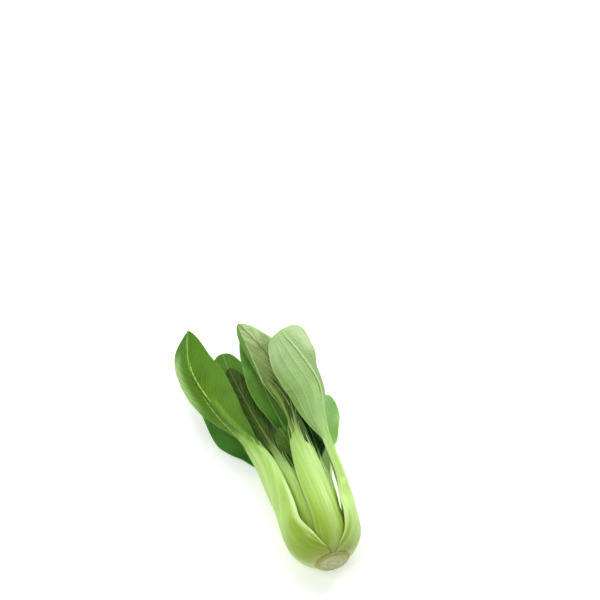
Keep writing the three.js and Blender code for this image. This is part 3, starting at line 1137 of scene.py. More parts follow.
SMOOTH_GREEN = LeafFinish(
    outer="54800c", inner="5f9a38", vein="6f9a34", deep="3c6410", tip="4a7c12", ridge="7cb038",
    lines=0.25, shadow=0.2, net=0.12, foot=0.1, rim=0.2, lit=0.8, roughness=0.38,
    marks=(
        # Painted light and shade: a lit band on the midrib's right side, and a shaded groove along its
        # middle.
        Mark("84b444", (2.0, 3.6), 1.9, (-2.0, 58.0), 0.5),
        Mark("2f580a", (0.3, -0.3), 0.8, (18.0, 84.0), 0.75),
        Mark("b8d468", (-1.6, -0.9), 0.4, (2.0, 62.0), 0.7),
        Mark("c4d873", (1.3, 0.9), 0.4, (48.0, 92.0), 0.85),
        Mark("b4cc60", (0.4, -1.2), 0.35, (84.0, 118.0), 0.8),
        # Painted highlights: two along the stalk's ridges, and a broad one on the bulb.
        Mark(RIDGE_HIGHLIGHT, (1.4, 0.2), 1.3, (-34.0, 14.0), 0.45),
        Mark(RIDGE_HIGHLIGHT, (-12.5, -10.0), 1.5, (-58.0, -24.0), 0.4),
        Mark("c0e884", (9.0, 8.0), 5.0, (-64.0, -30.0), 0.35),
    ),
)
GREY_GREEN = LeafFinish(
    outer="87a862", inner="8fb86a", vein="b8d498", deep="6a8c4a", tip="a2c082", ridge="98bb70",
    lines=0.8, shadow=0.8, net=0.75, foot=0.1, rim=0.5, dusk=0.8, roughness=0.5,
    marks=(
        Mark("70943c", (-17.5, -25.0), 5.0, (6.0, 66.0), 0.6),
        Mark("94c868", (-8.0, -8.0), 13.0, (0.0, 58.0), 0.25),
        Mark("bce490", (-3.5, -3.5), 4.0, (-6.0, 46.0), 0.35),
        Mark("5c7c3c", (-0.9, -1.0), 0.5, (28.0, 84.0), 0.7),
        Mark("c4dea0", (0.0, 0.0), 0.45, (18.0, 86.0), 0.8),
        Mark("d4e8bc", (14.0, 9.0), 7.0, (60.0, 94.0), 0.4),
        Mark("769c4e", (7.0, 4.0), 4.0, (26.0, 70.0), 0.4),
        # Painted highlight on the bulb.
        Mark("c8f08c", (-7.0, -8.0), 6.0, (-84.0, -38.0), 0.45),
    ),
)
OLIVE = LeafFinish(
    outer="869a4c", inner="5c8c34", vein="b4c88a", deep="304c08", tip="a8c084", ridge="86a04e",
    lines=0.45, shadow=0.75, net=0.45, foot=0.95, foot_reach=92.0, rim=0.9, lap=0.9, roughness=0.5,
    marks=(
        # Painted shadow in the dark band beside the slanted rib.
        Mark("34520c", (2.8, -5.4), 2.0, (-6.0, 54.0), 0.5),
        Mark("94ac50", (-0.2, -9.6), 1.4, (-8.0, 52.0), 0.6),
        Mark("405a20", (0.0, 0.0), 0.4, (40.0, 112.0), 0.8),
        # Painted highlight along the stalk's ridge.
        Mark(RIDGE_HIGHLIGHT, (2.7, 0.2), 1.5, (-76.0, -6.0), 0.25),
    ),
)
SHADE_GREEN = LeafFinish(
    outer="38580c", inner="4f7a33", vein="6d7f3a", deep="263c06", tip="39520e", ridge="566e24",
    crease="6f8038", lines=0.45, shadow=0.6, net=0.45, stalk=0.95,
)
FAR_GREEN = LeafFinish(
    outer="527f20", inner="507e1c", vein="7aa24a", deep="3a6a12", tip="4f7d1c", ridge="5c8c30",
    crease="689838", rim=0.35,
)
LIT_GREEN = LeafFinish(
    outer="628c30", inner="628f30", vein="86ad58", deep="386c1c", tip="7aaa58", ridge="6c9c42",
    crease="96be70", foot=0.6, rim=0.5,
)
COOL_GREEN = LeafFinish(
    outer="5a9440", inner="5a9238", vein="7aac58", deep="3a7828", tip="66a04c", ridge="78aa50",
    crease="a0c878", foot=0.1, rim=0.2,
)
PALE_GREEN = LeafFinish(
    outer="9ccc74", inner="9ccc74", vein="b0d890", deep="84b85c", tip="a4d486", ridge="a0cc7c",
    crease="acd488", foot=0.1, rim=0.2,
)
# Painted shade: the young right leaf lies in shadow deep in the bunch, so its colours are nearly black
# and its stalk is dimmed.
SHADED_YOUNG_GREEN = LeafFinish(
    outer="125006", inner="145a06", vein="467a2a", deep="103c04", tip="245c0c", ridge="46782a",
    crease="689c44", foot=0.5, stalk=0.8,
)
HEART_GREEN = LeafFinish(
    outer="486e18", inner="486e18", vein="7c9c44", deep="2e4c0a", tip="486c20", ridge="587c2c",
    crease="648834", foot=0.5, stalk=0.75,
)


@dataclass(frozen=True)
class Wave:
    """The wave of a blade's margin: its height, and how many there are along the blade."""

    height: float
    count: float


@dataclass
class Leaf:
    """One leaf, in millimetres from the axis. Pairs hold the left half's value and the right's.

    Attributes:
        name: The start of its nodes' names.
        ring: The ring that its stalk stands in.
        angle: The stalk's place round the axis, 0 at +X and 90 at the top.
        wrap: The stalk's half angle at each bulb station.
        spine: Mid stalk, neck, low blade, high blade and tip.
        facing: The angle that the outer face looks to at each of them.
        stalk: Half width at mid stalk and neck.
        blade: Half widths of the blade.
        stalk_cup: The angle that each half bends through at mid stalk.
        cup: And at neck, low and high blade, in pairs.
        fold: The crease at the midrib at low blade, high blade and tip.
        wave: The wave of the margin.
        peak: Where each half is widest, from 0 at the blade's start to 1 at its tip.
        rise: Fullness of each half's outline before that, where less is fuller.
        tip: And after it.
        finish: Its colours.
        slot: The material slot for its blade; not used.
        fineness: How fine its mesh is.
        neck_thickness: Thickness of the stalk at the neck.
        veins: How its side veins run.
        comb: The pale veins at its stalk's top.
    """

    name: str
    ring: Ring
    angle: float
    wrap: Sequence[float]
    spine: Sequence[Sequence[float]]
    facing: Sequence[float]
    stalk: tuple[float, float]
    blade: tuple[float, float]
    stalk_cup: float
    cup: Sequence[tuple[float, float]]
    fold: tuple[float, float, float]
    wave: Wave
    peak: tuple[float, float]
    rise: tuple[float, float]
    tip: tuple[float, float]
    finish: LeafFinish
    slot: Slot
    fineness: Fineness = Fineness.PLAIN
    neck_thickness: float = 3.0
    veins: VeinRule = field(default_factory=VeinRule)
    comb: CombRule = field(default_factory=CombRule)

    def __post_init__(self) -> None:
        """Samples the spine, so that u is the share of its length."""
        inside, self.thick = self.ring.value
        self.radii = [inside * swell(y) for y in BULB_STATIONS]
        turn = math.radians(self.angle)
        feet = zip(self.radii, BULB_STATIONS)
        bulb = [(r * math.cos(turn), y, r * math.sin(turn)) for r, y in feet]
        self.samples = spline([*bulb, *self.spine], SPINE_STEPS)
        steps = np.linalg.norm(np.diff(self.samples, axis=0), axis=1)
        shares = np.concatenate([[0.0], np.cumsum(steps)])
        self.length = float(shares[-1])
        self.shares = shares / self.length
        self.stations = self.shares[::SPINE_STEPS]
        neck, low = self.stations[NECK], self.stations[LOW_BLADE]
        self.rib_stations = np.insert(self.stations, LOW_BLADE, neck + (low - neck) * RIB_PLACE)
        self.facings = [self.angle] * len(BULB_STATIONS) + list(self.facing)
        self.blade_start = self.stations[NECK] - BLADE_LEAD / self.length
        self.phase = (self.angle * 0.37) % (2 * math.pi)  # so that no two leaves ripple alike

    def on_spine(self, u: np.ndarray) -> np.ndarray:
        """Finds points of the spine."""
        x = np.clip(u, 0.0, 1.0)
        return np.stack([np.interp(x, self.shares, self.samples[:, i]) for i in range(3)], -1)

    def section(self, u: np.ndarray) -> tuple[np.ndarray, np.ndarray, np.ndarray]:
        """Places the sections, which stand square to the axis inside the bulb.

        Args:
            u: Shares of the spine's length.

        Returns:
            Their places, outward directions and sideways directions.
        """
        along = unit(self.on_spine(u + TANGENT_STEP) - self.on_spine(u - TANGENT_STEP))
        start = self.stations[BULB_TOP] * FREE_FROM
        free = ease((u - start) / (self.stations[MID_STALK] - start))[:, None]
        along = unit(along * free + np.array([0.0, 1.0, 0.0]) * (1 - free))
        facing = np.radians(track(self.stations, self.facings, u))
        out = np.stack([np.cos(facing), np.zeros_like(facing), np.sin(facing)], -1)
        out = unit(out - np.sum(out * along, -1, keepdims=True) * along)
        return self.on_spine(u), out, np.cross(along, out)

    def blade_share(self, u: np.ndarray) -> np.ndarray:
        """Goes from 0 where the blade starts to 1 at the tip."""
        return np.clip((u - self.blade_start) / (1 - self.blade_start), 0.0, 1.0)

    def stalk_half(self, u: np.ndarray) -> np.ndarray:
        """Gives half the width of the stalk and midrib."""
        middle, neck = self.stalk
        bulb = [math.radians(angle) * r for angle, r in zip(self.wrap, self.radii)]
        ribs = [max(neck * share, TIP_HALF) for share in RIB_WIDTHS]
        return track(self.rib_stations, [*bulb, middle, neck, *ribs, TIP_HALF], u)

    def half(self, u: np.ndarray, right: int) -> np.ndarray:
        """Gives half the width of the leaf: the stalk's, widened by the blade's outline.

        Args:
            u: Shares of the spine's length.
            right: 1 for the right half and 0 for the left.

        Returns:
            The half widths.
        """
        v = self.blade_share(u)
        peak = self.peak[right]
        x = np.where(v < peak, 0.5 * v / peak, 0.5 + 0.5 * (v - peak) / (1 - peak))
        outline = np.sin(np.pi * np.clip(x, 0.0, 1.0)).clip(0.0)
        outline = np.where(v < peak, outline ** self.rise[right], outline ** self.tip[right])
        blade = self.blade[right] * outline
        return (self.stalk_half(u) ** BLEND_POWER + blade**BLEND_POWER) ** (1 / BLEND_POWER)

    def bend(self, u: np.ndarray, right: int) -> np.ndarray:
        """Gives the bend of one half of the section, in radians a millimetre.

        Args:
            u: Shares of the spine's length.
            right: 1 for the right half and 0 for the left.

        Returns:
            The bends.
        """
        halves = self.half(self.stations[MID_STALK : HIGH_BLADE + 1], right)
        angles = [self.stalk_cup, *(pair[right] for pair in self.cup)]
        free = [math.radians(angle) / half for angle, half in zip(angles, halves)]
        values = [1 / r for r in self.radii] + free + [free[-1] * TIP_BEND]
        return track(self.stations, values, u)

    def thickness(self, u: np.ndarray, distance: np.ndarray, q: np.ndarray) -> np.ndarray:
        """Gives the thickness of the stalk, which thins into the midrib, and of the blade.

        Args:
            u: Shares of the spine's length, one for each row.
            distance: Distance from the midrib, in rows.
            q: The same from 0 to 1 at the margin.

        Returns:
            The thickness, in rows.
        """
        neck = self.neck_thickness
        values = [self.thick * swell(y) for y in BULB_STATIONS]
        values += [self.thick * MID_STALK_DEPTH, neck, *(neck * share for share in RIB_DEPTHS)]
        middle = track(self.rib_stations, [*values, TIP_THICKNESS], u)[:, None]
        blade = ease(self.blade_share(u) * RIB_FADE)[:, None]
        half = self.stalk_half(u)[:, None] * (1 + RIB_SPREAD * blade)
        x = np.clip(distance / half, 0.0, 1.0)
        crest = STALK_CREST + (RIB_CREST - STALK_CREST) * blade
        crescent = np.clip(1 - x**CRESCENT_POWER, 0.0, 1.0) ** crest
        thin = BLADE_THICKNESS + (MARGIN_THICKNESS - BLADE_THICKNESS) * blade * q**MARGIN_POWER
        return thin + np.maximum(middle - BLADE_THICKNESS, 0.0) * crescent

    def wave_at(self, u: np.ndarray, across: np.ndarray, q: np.ndarray) -> np.ndarray:
        """Gives the waves of the blade's margin, and the puckers between its side veins.

        Args:
            u: Shares of the spine's length, one for each row.
            across: Signed distance from the midrib, in rows.
            q: The same from -1 to 1.

        Returns:
            How far the section's points move outwards.
        """
        v = self.blade_share(u)[:, None]
        right = (across >= 0).astype(float)
        side, edge = np.abs(across), np.abs(q)
        grow, fade = WAVE_FADES
        ends = ease(v * grow) * ease((1 - v) * fade)
        turns = self.wave.count * v + (1 - right) * WAVE_LAG
        wave = self.wave.height * np.sin(2 * np.pi * turns) * edge**WAVE_POWER
        along = (u[:, None] - self.blade_start) * self.length
        turn = 2 * np.pi * along / RIPPLE_LENGTH + self.phase + right * RIPPLE_LAG
        # A slower sine inside the first one makes the ripple uneven.
        ripple = np.sin(turn + 0.9 * np.sin(turn * 0.31)) * edge**RIPPLE_POWER * RIPPLE_HEIGHT
        number = self.veins.number(along, side, edge, right, np.sin)
        start, width = PUCKER_START
        clear = ease((side / self.stalk_half(u)[:, None] - start) / width)
        pucker = np.cos(2 * np.pi * number) * clear * (1 - edge**PUCKER_POWER) * self.veins.pucker
        grow, fade = PUCKER_FADES
        return (wave + ripple) * ends + pucker * ease(v * grow) * ease((1 - v) * fade)

    def nerves(self, u: np.ndarray, across: np.ndarray) -> np.ndarray:
        """Gives the ridges and fine nerves of the stalk's outer face.

        Args:
            u: Shares of the spine's length, one for each row.
            across: Signed distance from the midrib, in rows.

        Returns:
            How far the outer face stands out.
        """
        half = self.stalk_half(u)[:, None]
        x = np.clip(np.abs(across) / half, 0.0, 1.0)
        depth = GROOVE_DEPTH if self.fineness is Fineness.FINE else GROOVE_DEPTH / 2
        groove = depth / 2 * (1 - np.cos(RIDGES * np.pi * x)) * ease(1 - x)
        drift = NERVE_DRIFT * np.sin(u[:, None] * 9.0 + self.phase)
        fine = np.cos(2 * np.pi * (across + drift) / NERVE_SPACING)
        closer, weight = FINER_NERVES
        fine = fine + weight * np.cos(2 * np.pi * (across * closer + drift) / NERVE_SPACING + 1.0)
        past, width = NERVE_END
        below = ease((self.stations[NECK] + past - u) / width)[:, None]
        bead = BEAD_HEIGHT * np.exp(-(((x - BEAD_PLACE) / BEAD_WIDTH) ** 2))
        grow, fade = NERVE_FADES
        raised = fine * NERVE_HEIGHT * ease((1 - x) * fade) + bead
        return (raised * ease(u * grow)[:, None] - groove) * below

    def surface(self, u: np.ndarray, across: np.ndarray, offset: np.ndarray) -> np.ndarray:
        """Finds points of the leaf.

        Args:
            u: Shares of the spine's length, one for each row.
            across: Signed distance from the midrib along the section, in rows.
            offset: Distance out from the inner face, in rows.

        Returns:
            The points, in rows, from the axis.
        """
        place, out, side = self.section(u)
        right = across >= 0
        bend = np.where(right, self.bend(u, 1)[:, None], self.bend(u, 0)[:, None])
        low, high, tip = self.fold
        folds = [0.0] * NECK + [low * NECK_FOLD, low, high, tip]
        fold = np.radians(track(self.stations, folds, u))[:, None]
        reach = np.abs(across)
        # The section's arc is summed up in short steps from the midrib.
        x = np.zeros_like(reach)
        z = np.zeros_like(reach)
        for i in range(ARC_STEPS):
            s = reach * (i + 0.5) / ARC_STEPS
            turn = fold * np.clip(s / FOLD_WIDTH, 0.0, 1.0) + bend * s
            x += np.cos(turn) * reach / ARC_STEPS
            z -= np.sin(turn) * reach / ARC_STEPS
        turn = fold * np.clip(reach / FOLD_WIDTH, 0.0, 1.0) + bend * reach
        x = np.where(right, 1.0, -1.0) * (x + np.sin(turn) * offset)
        z = z + np.cos(turn) * offset
        return place[:, None, :] + side[:, None, :] * x[..., None] + out[:, None, :] * z[..., None]

    def columns(self, u: np.ndarray, c: np.ndarray) -> tuple[np.ndarray, np.ndarray]:
        """Spreads a mesh's columns over the width, closer together on the midrib.

        Args:
            u: Shares of the spine's length, one for each row.
            c: The columns, from -1 to 1.

        Returns:
            Signed distances from the midrib, in rows, and the half width there.
        """
        half = np.where(c >= 0, self.half(u, 1)[:, None], self.half(u, 0)[:, None])
        rib = np.minimum(self.stalk_half(u)[:, None], RIB_COLUMNS * half)
        size = np.abs(c)
        outside = rib + (size - RIB_COLUMNS) / (1 - RIB_COLUMNS) * (half - rib)
        return np.sign(c) * np.where(size < RIB_COLUMNS, size / RIB_COLUMNS * rib, outside), half

    def rows(self) -> np.ndarray:
        """Gives the rows of the mesh, closer together at the foot and at the tip."""
        count = self.fineness.value[1]
        t = np.linspace(0.0, 1.0, count)
        return t - ROW_CROWDING * np.sin(2 * np.pi * t)

    def to_frame(self, points: np.ndarray, lift: np.ndarray) -> np.ndarray:
        """Moves points into the frame, and keeps them above the surface that the bunch rests on.

        Args:
            points: Points from the axis, in millimetres.
            lift: The least height of each above the surface, in millimetres.

        Returns:
            Points in metres.
        """
        placed = points * MM + axis_origin()
        placed[..., 2] = np.maximum(placed[..., 2], lift * MM)
        return placed

    def mesh(self) -> bpy.types.Mesh:
        """Builds the leaf as one closed mesh of rings: outer face, rim, inner face, rim."""
        u = self.rows()
        width = self.fineness.value[0] + 1
        line = np.linspace(-1.0, 1.0, width)
        turns = np.pi * np.arange(1, RIM_POINTS + 1) / (RIM_POINTS + 1)
        ones, zeros = np.ones(RIM_POINTS), np.zeros(width)
        c = np.concatenate([line, ones, line[::-1], -ones])
        rim = 0.5 + 0.5 * np.cos(turns)
        face = np.concatenate([zeros + 1, rim, zeros, 0.5 - 0.5 * np.cos(turns)])
        push = np.concatenate([zeros, np.sin(turns), zeros, np.sin(turns)]) * RIM_ROUND
        across, half = self.columns(u, c)
        q = across / half
        thick = self.thickness(u, np.abs(across), np.abs(q))
        offset = face * (thick + self.nerves(u, across)) + self.wave_at(u, across, q)
        points = self.surface(u, across + np.sign(c) * push * thick, offset)
        points = self.to_frame(points, (1 - face) * thick)
        stalk = self.stalk_half(u)[:, None]
        share = np.broadcast_to(self.blade_share(u)[:, None], across.shape)
        along = np.broadcast_to((u[:, None] - self.blade_start) * self.length, across.shape)
        numbers = {
            "across": across,
            "along": along,
            "from_stem": along + self.blade_start * self.length,
            "rib": np.abs(across) / stalk,
            "back": np.broadcast_to(face, across.shape),
            "edge": np.abs(q),
            "blade": share,
            "comb": np.abs(across) / self.comb.width(along, stalk, self.stalk[1]) * self.comb.lines,
        }
        faces = self._faces(len(u), width)
        return make_mesh(self.name, points.reshape(-1, 3), faces, numbers=numbers)

    @staticmethod
    def _faces(rows: int, width: int) -> list[tuple[int, ...]]:
        """Lists the faces of a tube of rings, closed at both ends.

        Args:
            rows: Number of rings.
            width: Points across each of a ring's two faces.

        Returns:
            Corner numbers of each face.
        """
        size = 2 * (width + RIM_POINTS)
        faces = []
        for low in range(0, (rows - 1) * size, size):
            for m in range(size):
                after = (m + 1) % size
                faces.append((low + m, low + after, low + size + after, low + size + m))
        under = 2 * width + RIM_POINTS - 1
        ends = [(m + 1, m, under - m, under - m - 1) for m in range(width - 1)]
        ends.append(tuple(range(width + RIM_POINTS, width - 2, -1)))
        ends.append((0, *range(size - 1, size - RIM_POINTS - 2, -1)))
        last = (rows - 1) * size
        return faces + ends + [tuple(last + m for m in reversed(end)) for end in ends]

    def side_lines(self, right: int) -> list[tuple[np.ndarray, ...]]:
        """Follows the side veins of one half.

        Args:
            right: 1 for the right half and 0 for the left.

        Returns:
            For each vein: places along the blade, distances from the midrib and radii.
        """
        blade = (1 - self.blade_start) * self.length
        if self.veins.fan:
            return self.fan_lines(right, blade)
        along = np.linspace(-2.0, blade, 900)
        across = self.blade[right] * np.linspace(0.03, 1.0, VEIN_STEPS) ** 1.5
        numbers = self.veins.number(along[:, None], across[None, :], 0.0, float(right), np.sin)
        (edge, top), (root, thinner) = VEIN_END, VEIN_RADIUS
        lines = []
        for whole in range(0, int(numbers.max()) + 1):
            at = np.array([np.interp(whole, numbers[:, j], along) for j in range(len(across))])
            u = np.clip(self.blade_start + at / self.length, 0.0, 1.0)
            q = across / self.half(u, right)
            keep = (q < edge) & (at < blade * top) & (at > VEIN_FOOT)
            keep = keep & (across > VEIN_ROOT * self.stalk_half(u))
            first = int(keep.argmax())
            count = int(np.append(keep[first:], False).argmin())
            if count < VEIN_LEAST:
                continue
            at, x = at[first : first + count], across[first : first + count]
            share = np.linspace(0.0, 1.0, count)
            radius = (root - thinner * share) * min(1.0, count / VEIN_FULL)
            radius = radius * (1 - VEIN_THINNING * at / blade)
            lines.append((at, x, radius))
        return lines

    def fan_lines(self, right: int, blade: float) -> list[tuple[np.ndarray, ...]]:
        """Follows the side veins of one half where they all start at the neck.

        Args:
            right: 1 for the right half and 0 for the left.
            blade: Length of the blade.

        Returns:
            For each vein: places along the blade, distances from the midrib and radii.
        """
        (start, top), (root, thinner) = FAN_ENDS, FAN_RADIUS
        at = np.linspace(start, top * blade, FAN_STEPS)
        half = self.half(self.blade_start + at / self.length, right)
        share = np.linspace(0.0, 1.0, FAN_STEPS)
        radius = (root - thinner * share) * ease(share * 6)
        lines = []
        for whole in range(1, int(1 / self.veins.fan) + 1):
            q = self.veins.fan * (whole - self.veins.drift(at, float(right), np.sin))
            if q.max() < FAN_EDGE:
                lines.append((at, q * half, radius))
        return lines

    def comb_lines(self, right: int) -> list[tuple[np.ndarray, ...]]:
        """Follows the pale veins that run out of the stalk's top on one half.

        Args:
            right: 1 for the right half and 0 for the left.

        Returns:
            For each vein: places along the blade, distances from the midrib and radii.
        """
        lines = []
        start = self.comb.start[right]
        least, more = COMB_RADIUS
        for line in range(self.comb.lines):
            end = start + self.comb.length(line, right, math.sin)
            at = np.linspace(start - COMB_LEAD, end, COMB_STEPS)
            u = self.blade_start + at / self.length
            width = self.comb.width(at, self.stalk_half(u), self.stalk[1])
            x = np.minimum((line + 0.5) / self.comb.lines * width, 0.9 * self.half(u, right))
            share = np.linspace(0.0, 1.0, COMB_STEPS)
            radius = least + more * ease(share * 3) * (1 - share)
            lines.append((at, x, radius))
        return lines

    def vein_paths(self) -> bpy.types.Mesh:
        """Traces the raised veins of the outer face as loose paths, each point with its radius."""
        points, edges, values = [], [], []
        for right, sign in ((0, -1.0), (1, 1.0)):
            combs, sides = self.comb_lines(right), self.side_lines(right)
            for pale, (at, x, radius) in [(1.0, one) for one in combs] + [(0.0, one) for one in sides]:
                u = self.blade_start + at / self.length
                signed = (sign * x)[:, None]
                q = x / self.half(u, right)
                thick = self.thickness(u, x[:, None], q[:, None]) + self.nerves(u, signed)
                offset = thick + self.wave_at(u, signed, sign * q[:, None])
                offset = offset - VEIN_SINK * radius[:, None]
                path = self.to_frame(self.surface(u, signed, offset), radius[:, None])[:, 0]
                first = sum(len(one) for one in points)
                edges += [(first + i, first + i + 1) for i in range(len(u) - 1)]
                points.append(path)
                reach = np.linspace(0.0, 1.0, len(u))
                values.append(np.stack([radius * MM, reach, at, np.full(len(u), pale)]))
        numbers = dict(zip(("radius", "reach", "along", "pale"), np.concatenate(values, axis=1)))
        return make_mesh(self.name + "_veins", np.vstack(points), [], edges, numbers)

    def build(self) -> list[bpy.types.Object]:
        """Builds the leaf and its side veins.

        Returns:
            The two pieces.
        """
        leaf = add_piece(self.name, self.mesh())
        leaf.data.materials.append(self.finish.build(self.name, self.veins, self.comb))
        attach(leaf, BODY)
        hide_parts(self.name + "_stalk", self.name + "_blade")
        tree = vein_tree(self.finish.build_veins(self.name + "_veins"))
        veins = tree.grow(self.name + "_veins", self.vein_paths())
        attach(veins, BODY)
        return [leaf, veins]


def vein_tree(material: bpy.types.Material) -> GrowthTree:
    """Builds the tree that turns loose paths into thin round veins.

    Args:
        material: The veins' material.

    Returns:
        The tree.
    """
    tree = GrowthTree("side_veins", {"Sides": 6, "Fullness": 1.0, "Material": material})
    paths = tree.node("GeometryNodeMeshToCurve", {}, {0: tree.entry()})
    radius = tree.node("GeometryNodeInputNamedAttribute", {"data_type": "FLOAT"}, {"Name": "radius"})
    ring = {"Resolution": tree.entry("Sides"), "Radius": 1.0}
    profile = tree.node("GeometryNodeCurvePrimitiveCircle", {"mode": "RADIUS"}, ring)
    scale = radius * tree.entry("Fullness")
    tube = {"Curve": paths, "Profile Curve": profile, "Scale": scale, "Fill Caps": True}
    tree.finish(tree.node("GeometryNodeCurveToMesh", {}, tube))
    return tree


@dataclass(frozen=True)
class CutStem:
    """The short stem that was cut through, in millimetres.

    Attributes:
        cut: Radius of the cut face.
        rim: Radius past its bevel.
        shoulder: Radius where the stalks' feet stand.
        depth: How far the cut face is behind the feet.
        bevel: Height of the bevel.
        gap: Gap to the feet.
        sides: Points round it.
        vessels: Radius of each ring of vessel ends, and their number.
    """

    cut: float = 9.4
    rim: float = 10.3
    shoulder: float = 11.2
    depth: float = 1.8
    bevel: float = 0.6
    gap: float = 0.3
    sides: int = 120
    vessels: tuple[tuple[float, int], ...] = ((2.6, 9), (4.9, 17), (7.4, 27))
    finish: StemFinish = field(default_factory=StemFinish)

    def mesh(self) -> bpy.types.Mesh:
        """Builds the stem as one closed mesh of rings round its axis."""
        face = [(r, -self.depth) for r in np.linspace(0.0, self.cut, 34)[1:]]
        bevel = []
        for t in np.linspace(0.0, np.pi / 2, 6)[1:]:
            r = self.cut + (self.rim - self.cut) * np.sin(t)
            bevel.append((r, -self.depth + self.bevel * (1 - np.cos(t))))
        side = []
        for t in np.linspace(1.0, 0.0, 8)[1:]:
            r = self.shoulder + (self.rim - self.shoulder) * t
            side.append((r, -self.gap - (self.depth - self.bevel - self.gap) * t))
        back = [(r, -self.gap) for r in (self.shoulder * 0.75, self.shoulder * 0.4)]
        profile = np.array([*face, *bevel, *side, *back])
        turn = np.linspace(0.0, 2 * np.pi, self.sides, endpoint=False)
        r, y = profile[:, :1], profile[:, 1:]
        # Slow sines dent the cut face and make the stem's outline uneven.
        on_face = ease((self.cut + 0.6 - r) / 1.2) * (y < -self.depth / 2)
        dent = 0.22 * np.sin(r * 1.3 + 2 * np.sin(turn * 2)) + 0.16 * np.sin(r * 3.1 + turn * 3 + 1.0)
        dent = dent + 0.1 * np.sin(r * 0.9 - turn * 5) - 0.25
        lumps = 1 - 0.012 * (1 + np.sin(turn * 3 + 0.6)) - 0.01 * (1 + np.sin(turn * 7))
        yy = y - on_face * dent * ease(r / 3.0)
        points = np.stack([r * lumps * np.cos(turn), yy + 0 * turn, r * lumps * np.sin(turn)], -1)
        points = np.concatenate([points.reshape(-1, 3), [[0, -self.depth, 0], [0, -self.gap, 0]]])
        n, rings = self.sides, len(profile)
        faces = []
        for low in range(0, (rings - 1) * n, n):
            for j in range(n):
                after = (j + 1) % n
                faces.append((low + j, low + n + j, low + n + after, low + after))
        faces += [(rings * n, j, (j + 1) % n) for j in range(n)]
        faces += [(rings * n + 1, (rings - 1) * n + (j + 1) % n, (rings - 1) * n + j) for j in range(n)]
        numbers = {
            "radius": np.append(np.repeat(profile[:, 0], n), [0.0, 0.0]),
            "facing": np.append(np.repeat(on_face[:, 0], n), [1.0, 0.0]),
        }
        return make_mesh("cut_stem", points * MM + axis_origin(), faces, numbers=numbers)

    def vessel_tree(self) -> GrowthTree:
        """Builds the tree that sets small domes in rings on the cut face."""
        least, most = DOME_SCALES
        inputs = {"Dome": DOME_RADIUS * MM, "Least": least, "Most": most, "Seed": SEED}
        tree = GrowthTree("vessel_ends", {**inputs, "Material": self.finish.build_vessels()})
        ball = {"Radius": tree.entry("Dome"), "Subdivisions": 2}
        dome = tree.node("GeometryNodeMeshIcoSphere", {}, ball)
        flat = tree.node("GeometryNodeTransform", {}, {0: dome, "Scale": (1.0, DOME_FLATNESS, 1.0)})
        draw = {2: tree.entry("Least"), 3: tree.entry("Most"), "Seed": tree.entry("Seed")}
        size = tree.node("FunctionNodeRandomValue", {"data_type": "FLOAT"}, draw, 1)
        many = {"Points": tree.entry(), "Instance": flat, "Scale": size}
        tree.finish(tree.node("GeometryNodeInstanceOnPoints", {}, many))
        return tree

    def vessel_places(self) -> bpy.types.Mesh:
        """Places the vessel ends, in slightly uneven rings."""
        draw = np.random.default_rng(SEED)
        round_it, across = DOME_SHIFTS
        points = []
        for radius, count in self.vessels:
            for i in range(count):
                turn = 2 * np.pi * (i + draw.uniform(-round_it, round_it)) / count
                r = radius + draw.uniform(-across, across)
                points.append((r * np.cos(turn), -self.depth - DOME_HEIGHT, r * np.sin(turn)))
        return make_mesh("vessel_places", np.array(points) * MM + axis_origin(), [])

    def build(self) -> list[bpy.types.Object]:
        """Builds the stem and the vessel ends on its cut face.

        Returns:
            The two pieces.
        """
        stem = add_piece("cut_stem", self.mesh())
        stem.data.materials.append(self.finish.build())
        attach(stem, BODY)
        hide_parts("base")
        vessels = self.vessel_tree().grow("vessel_ends", self.vessel_places())
        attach(vessels, BODY)
        return [stem, vessels]


@dataclass(frozen=True)
class SoftLight:
    """A square soft light that faces the bunch, in metres, degrees and watts.

    Attributes:
        name: Its name.
        azimuth: Its turn round the bunch.
        elevation: Its height above the horizon.
        size: Its width.
        power: Its power.
    """

    name: str
    azimuth: float
    elevation: float
    size: float
    power: float


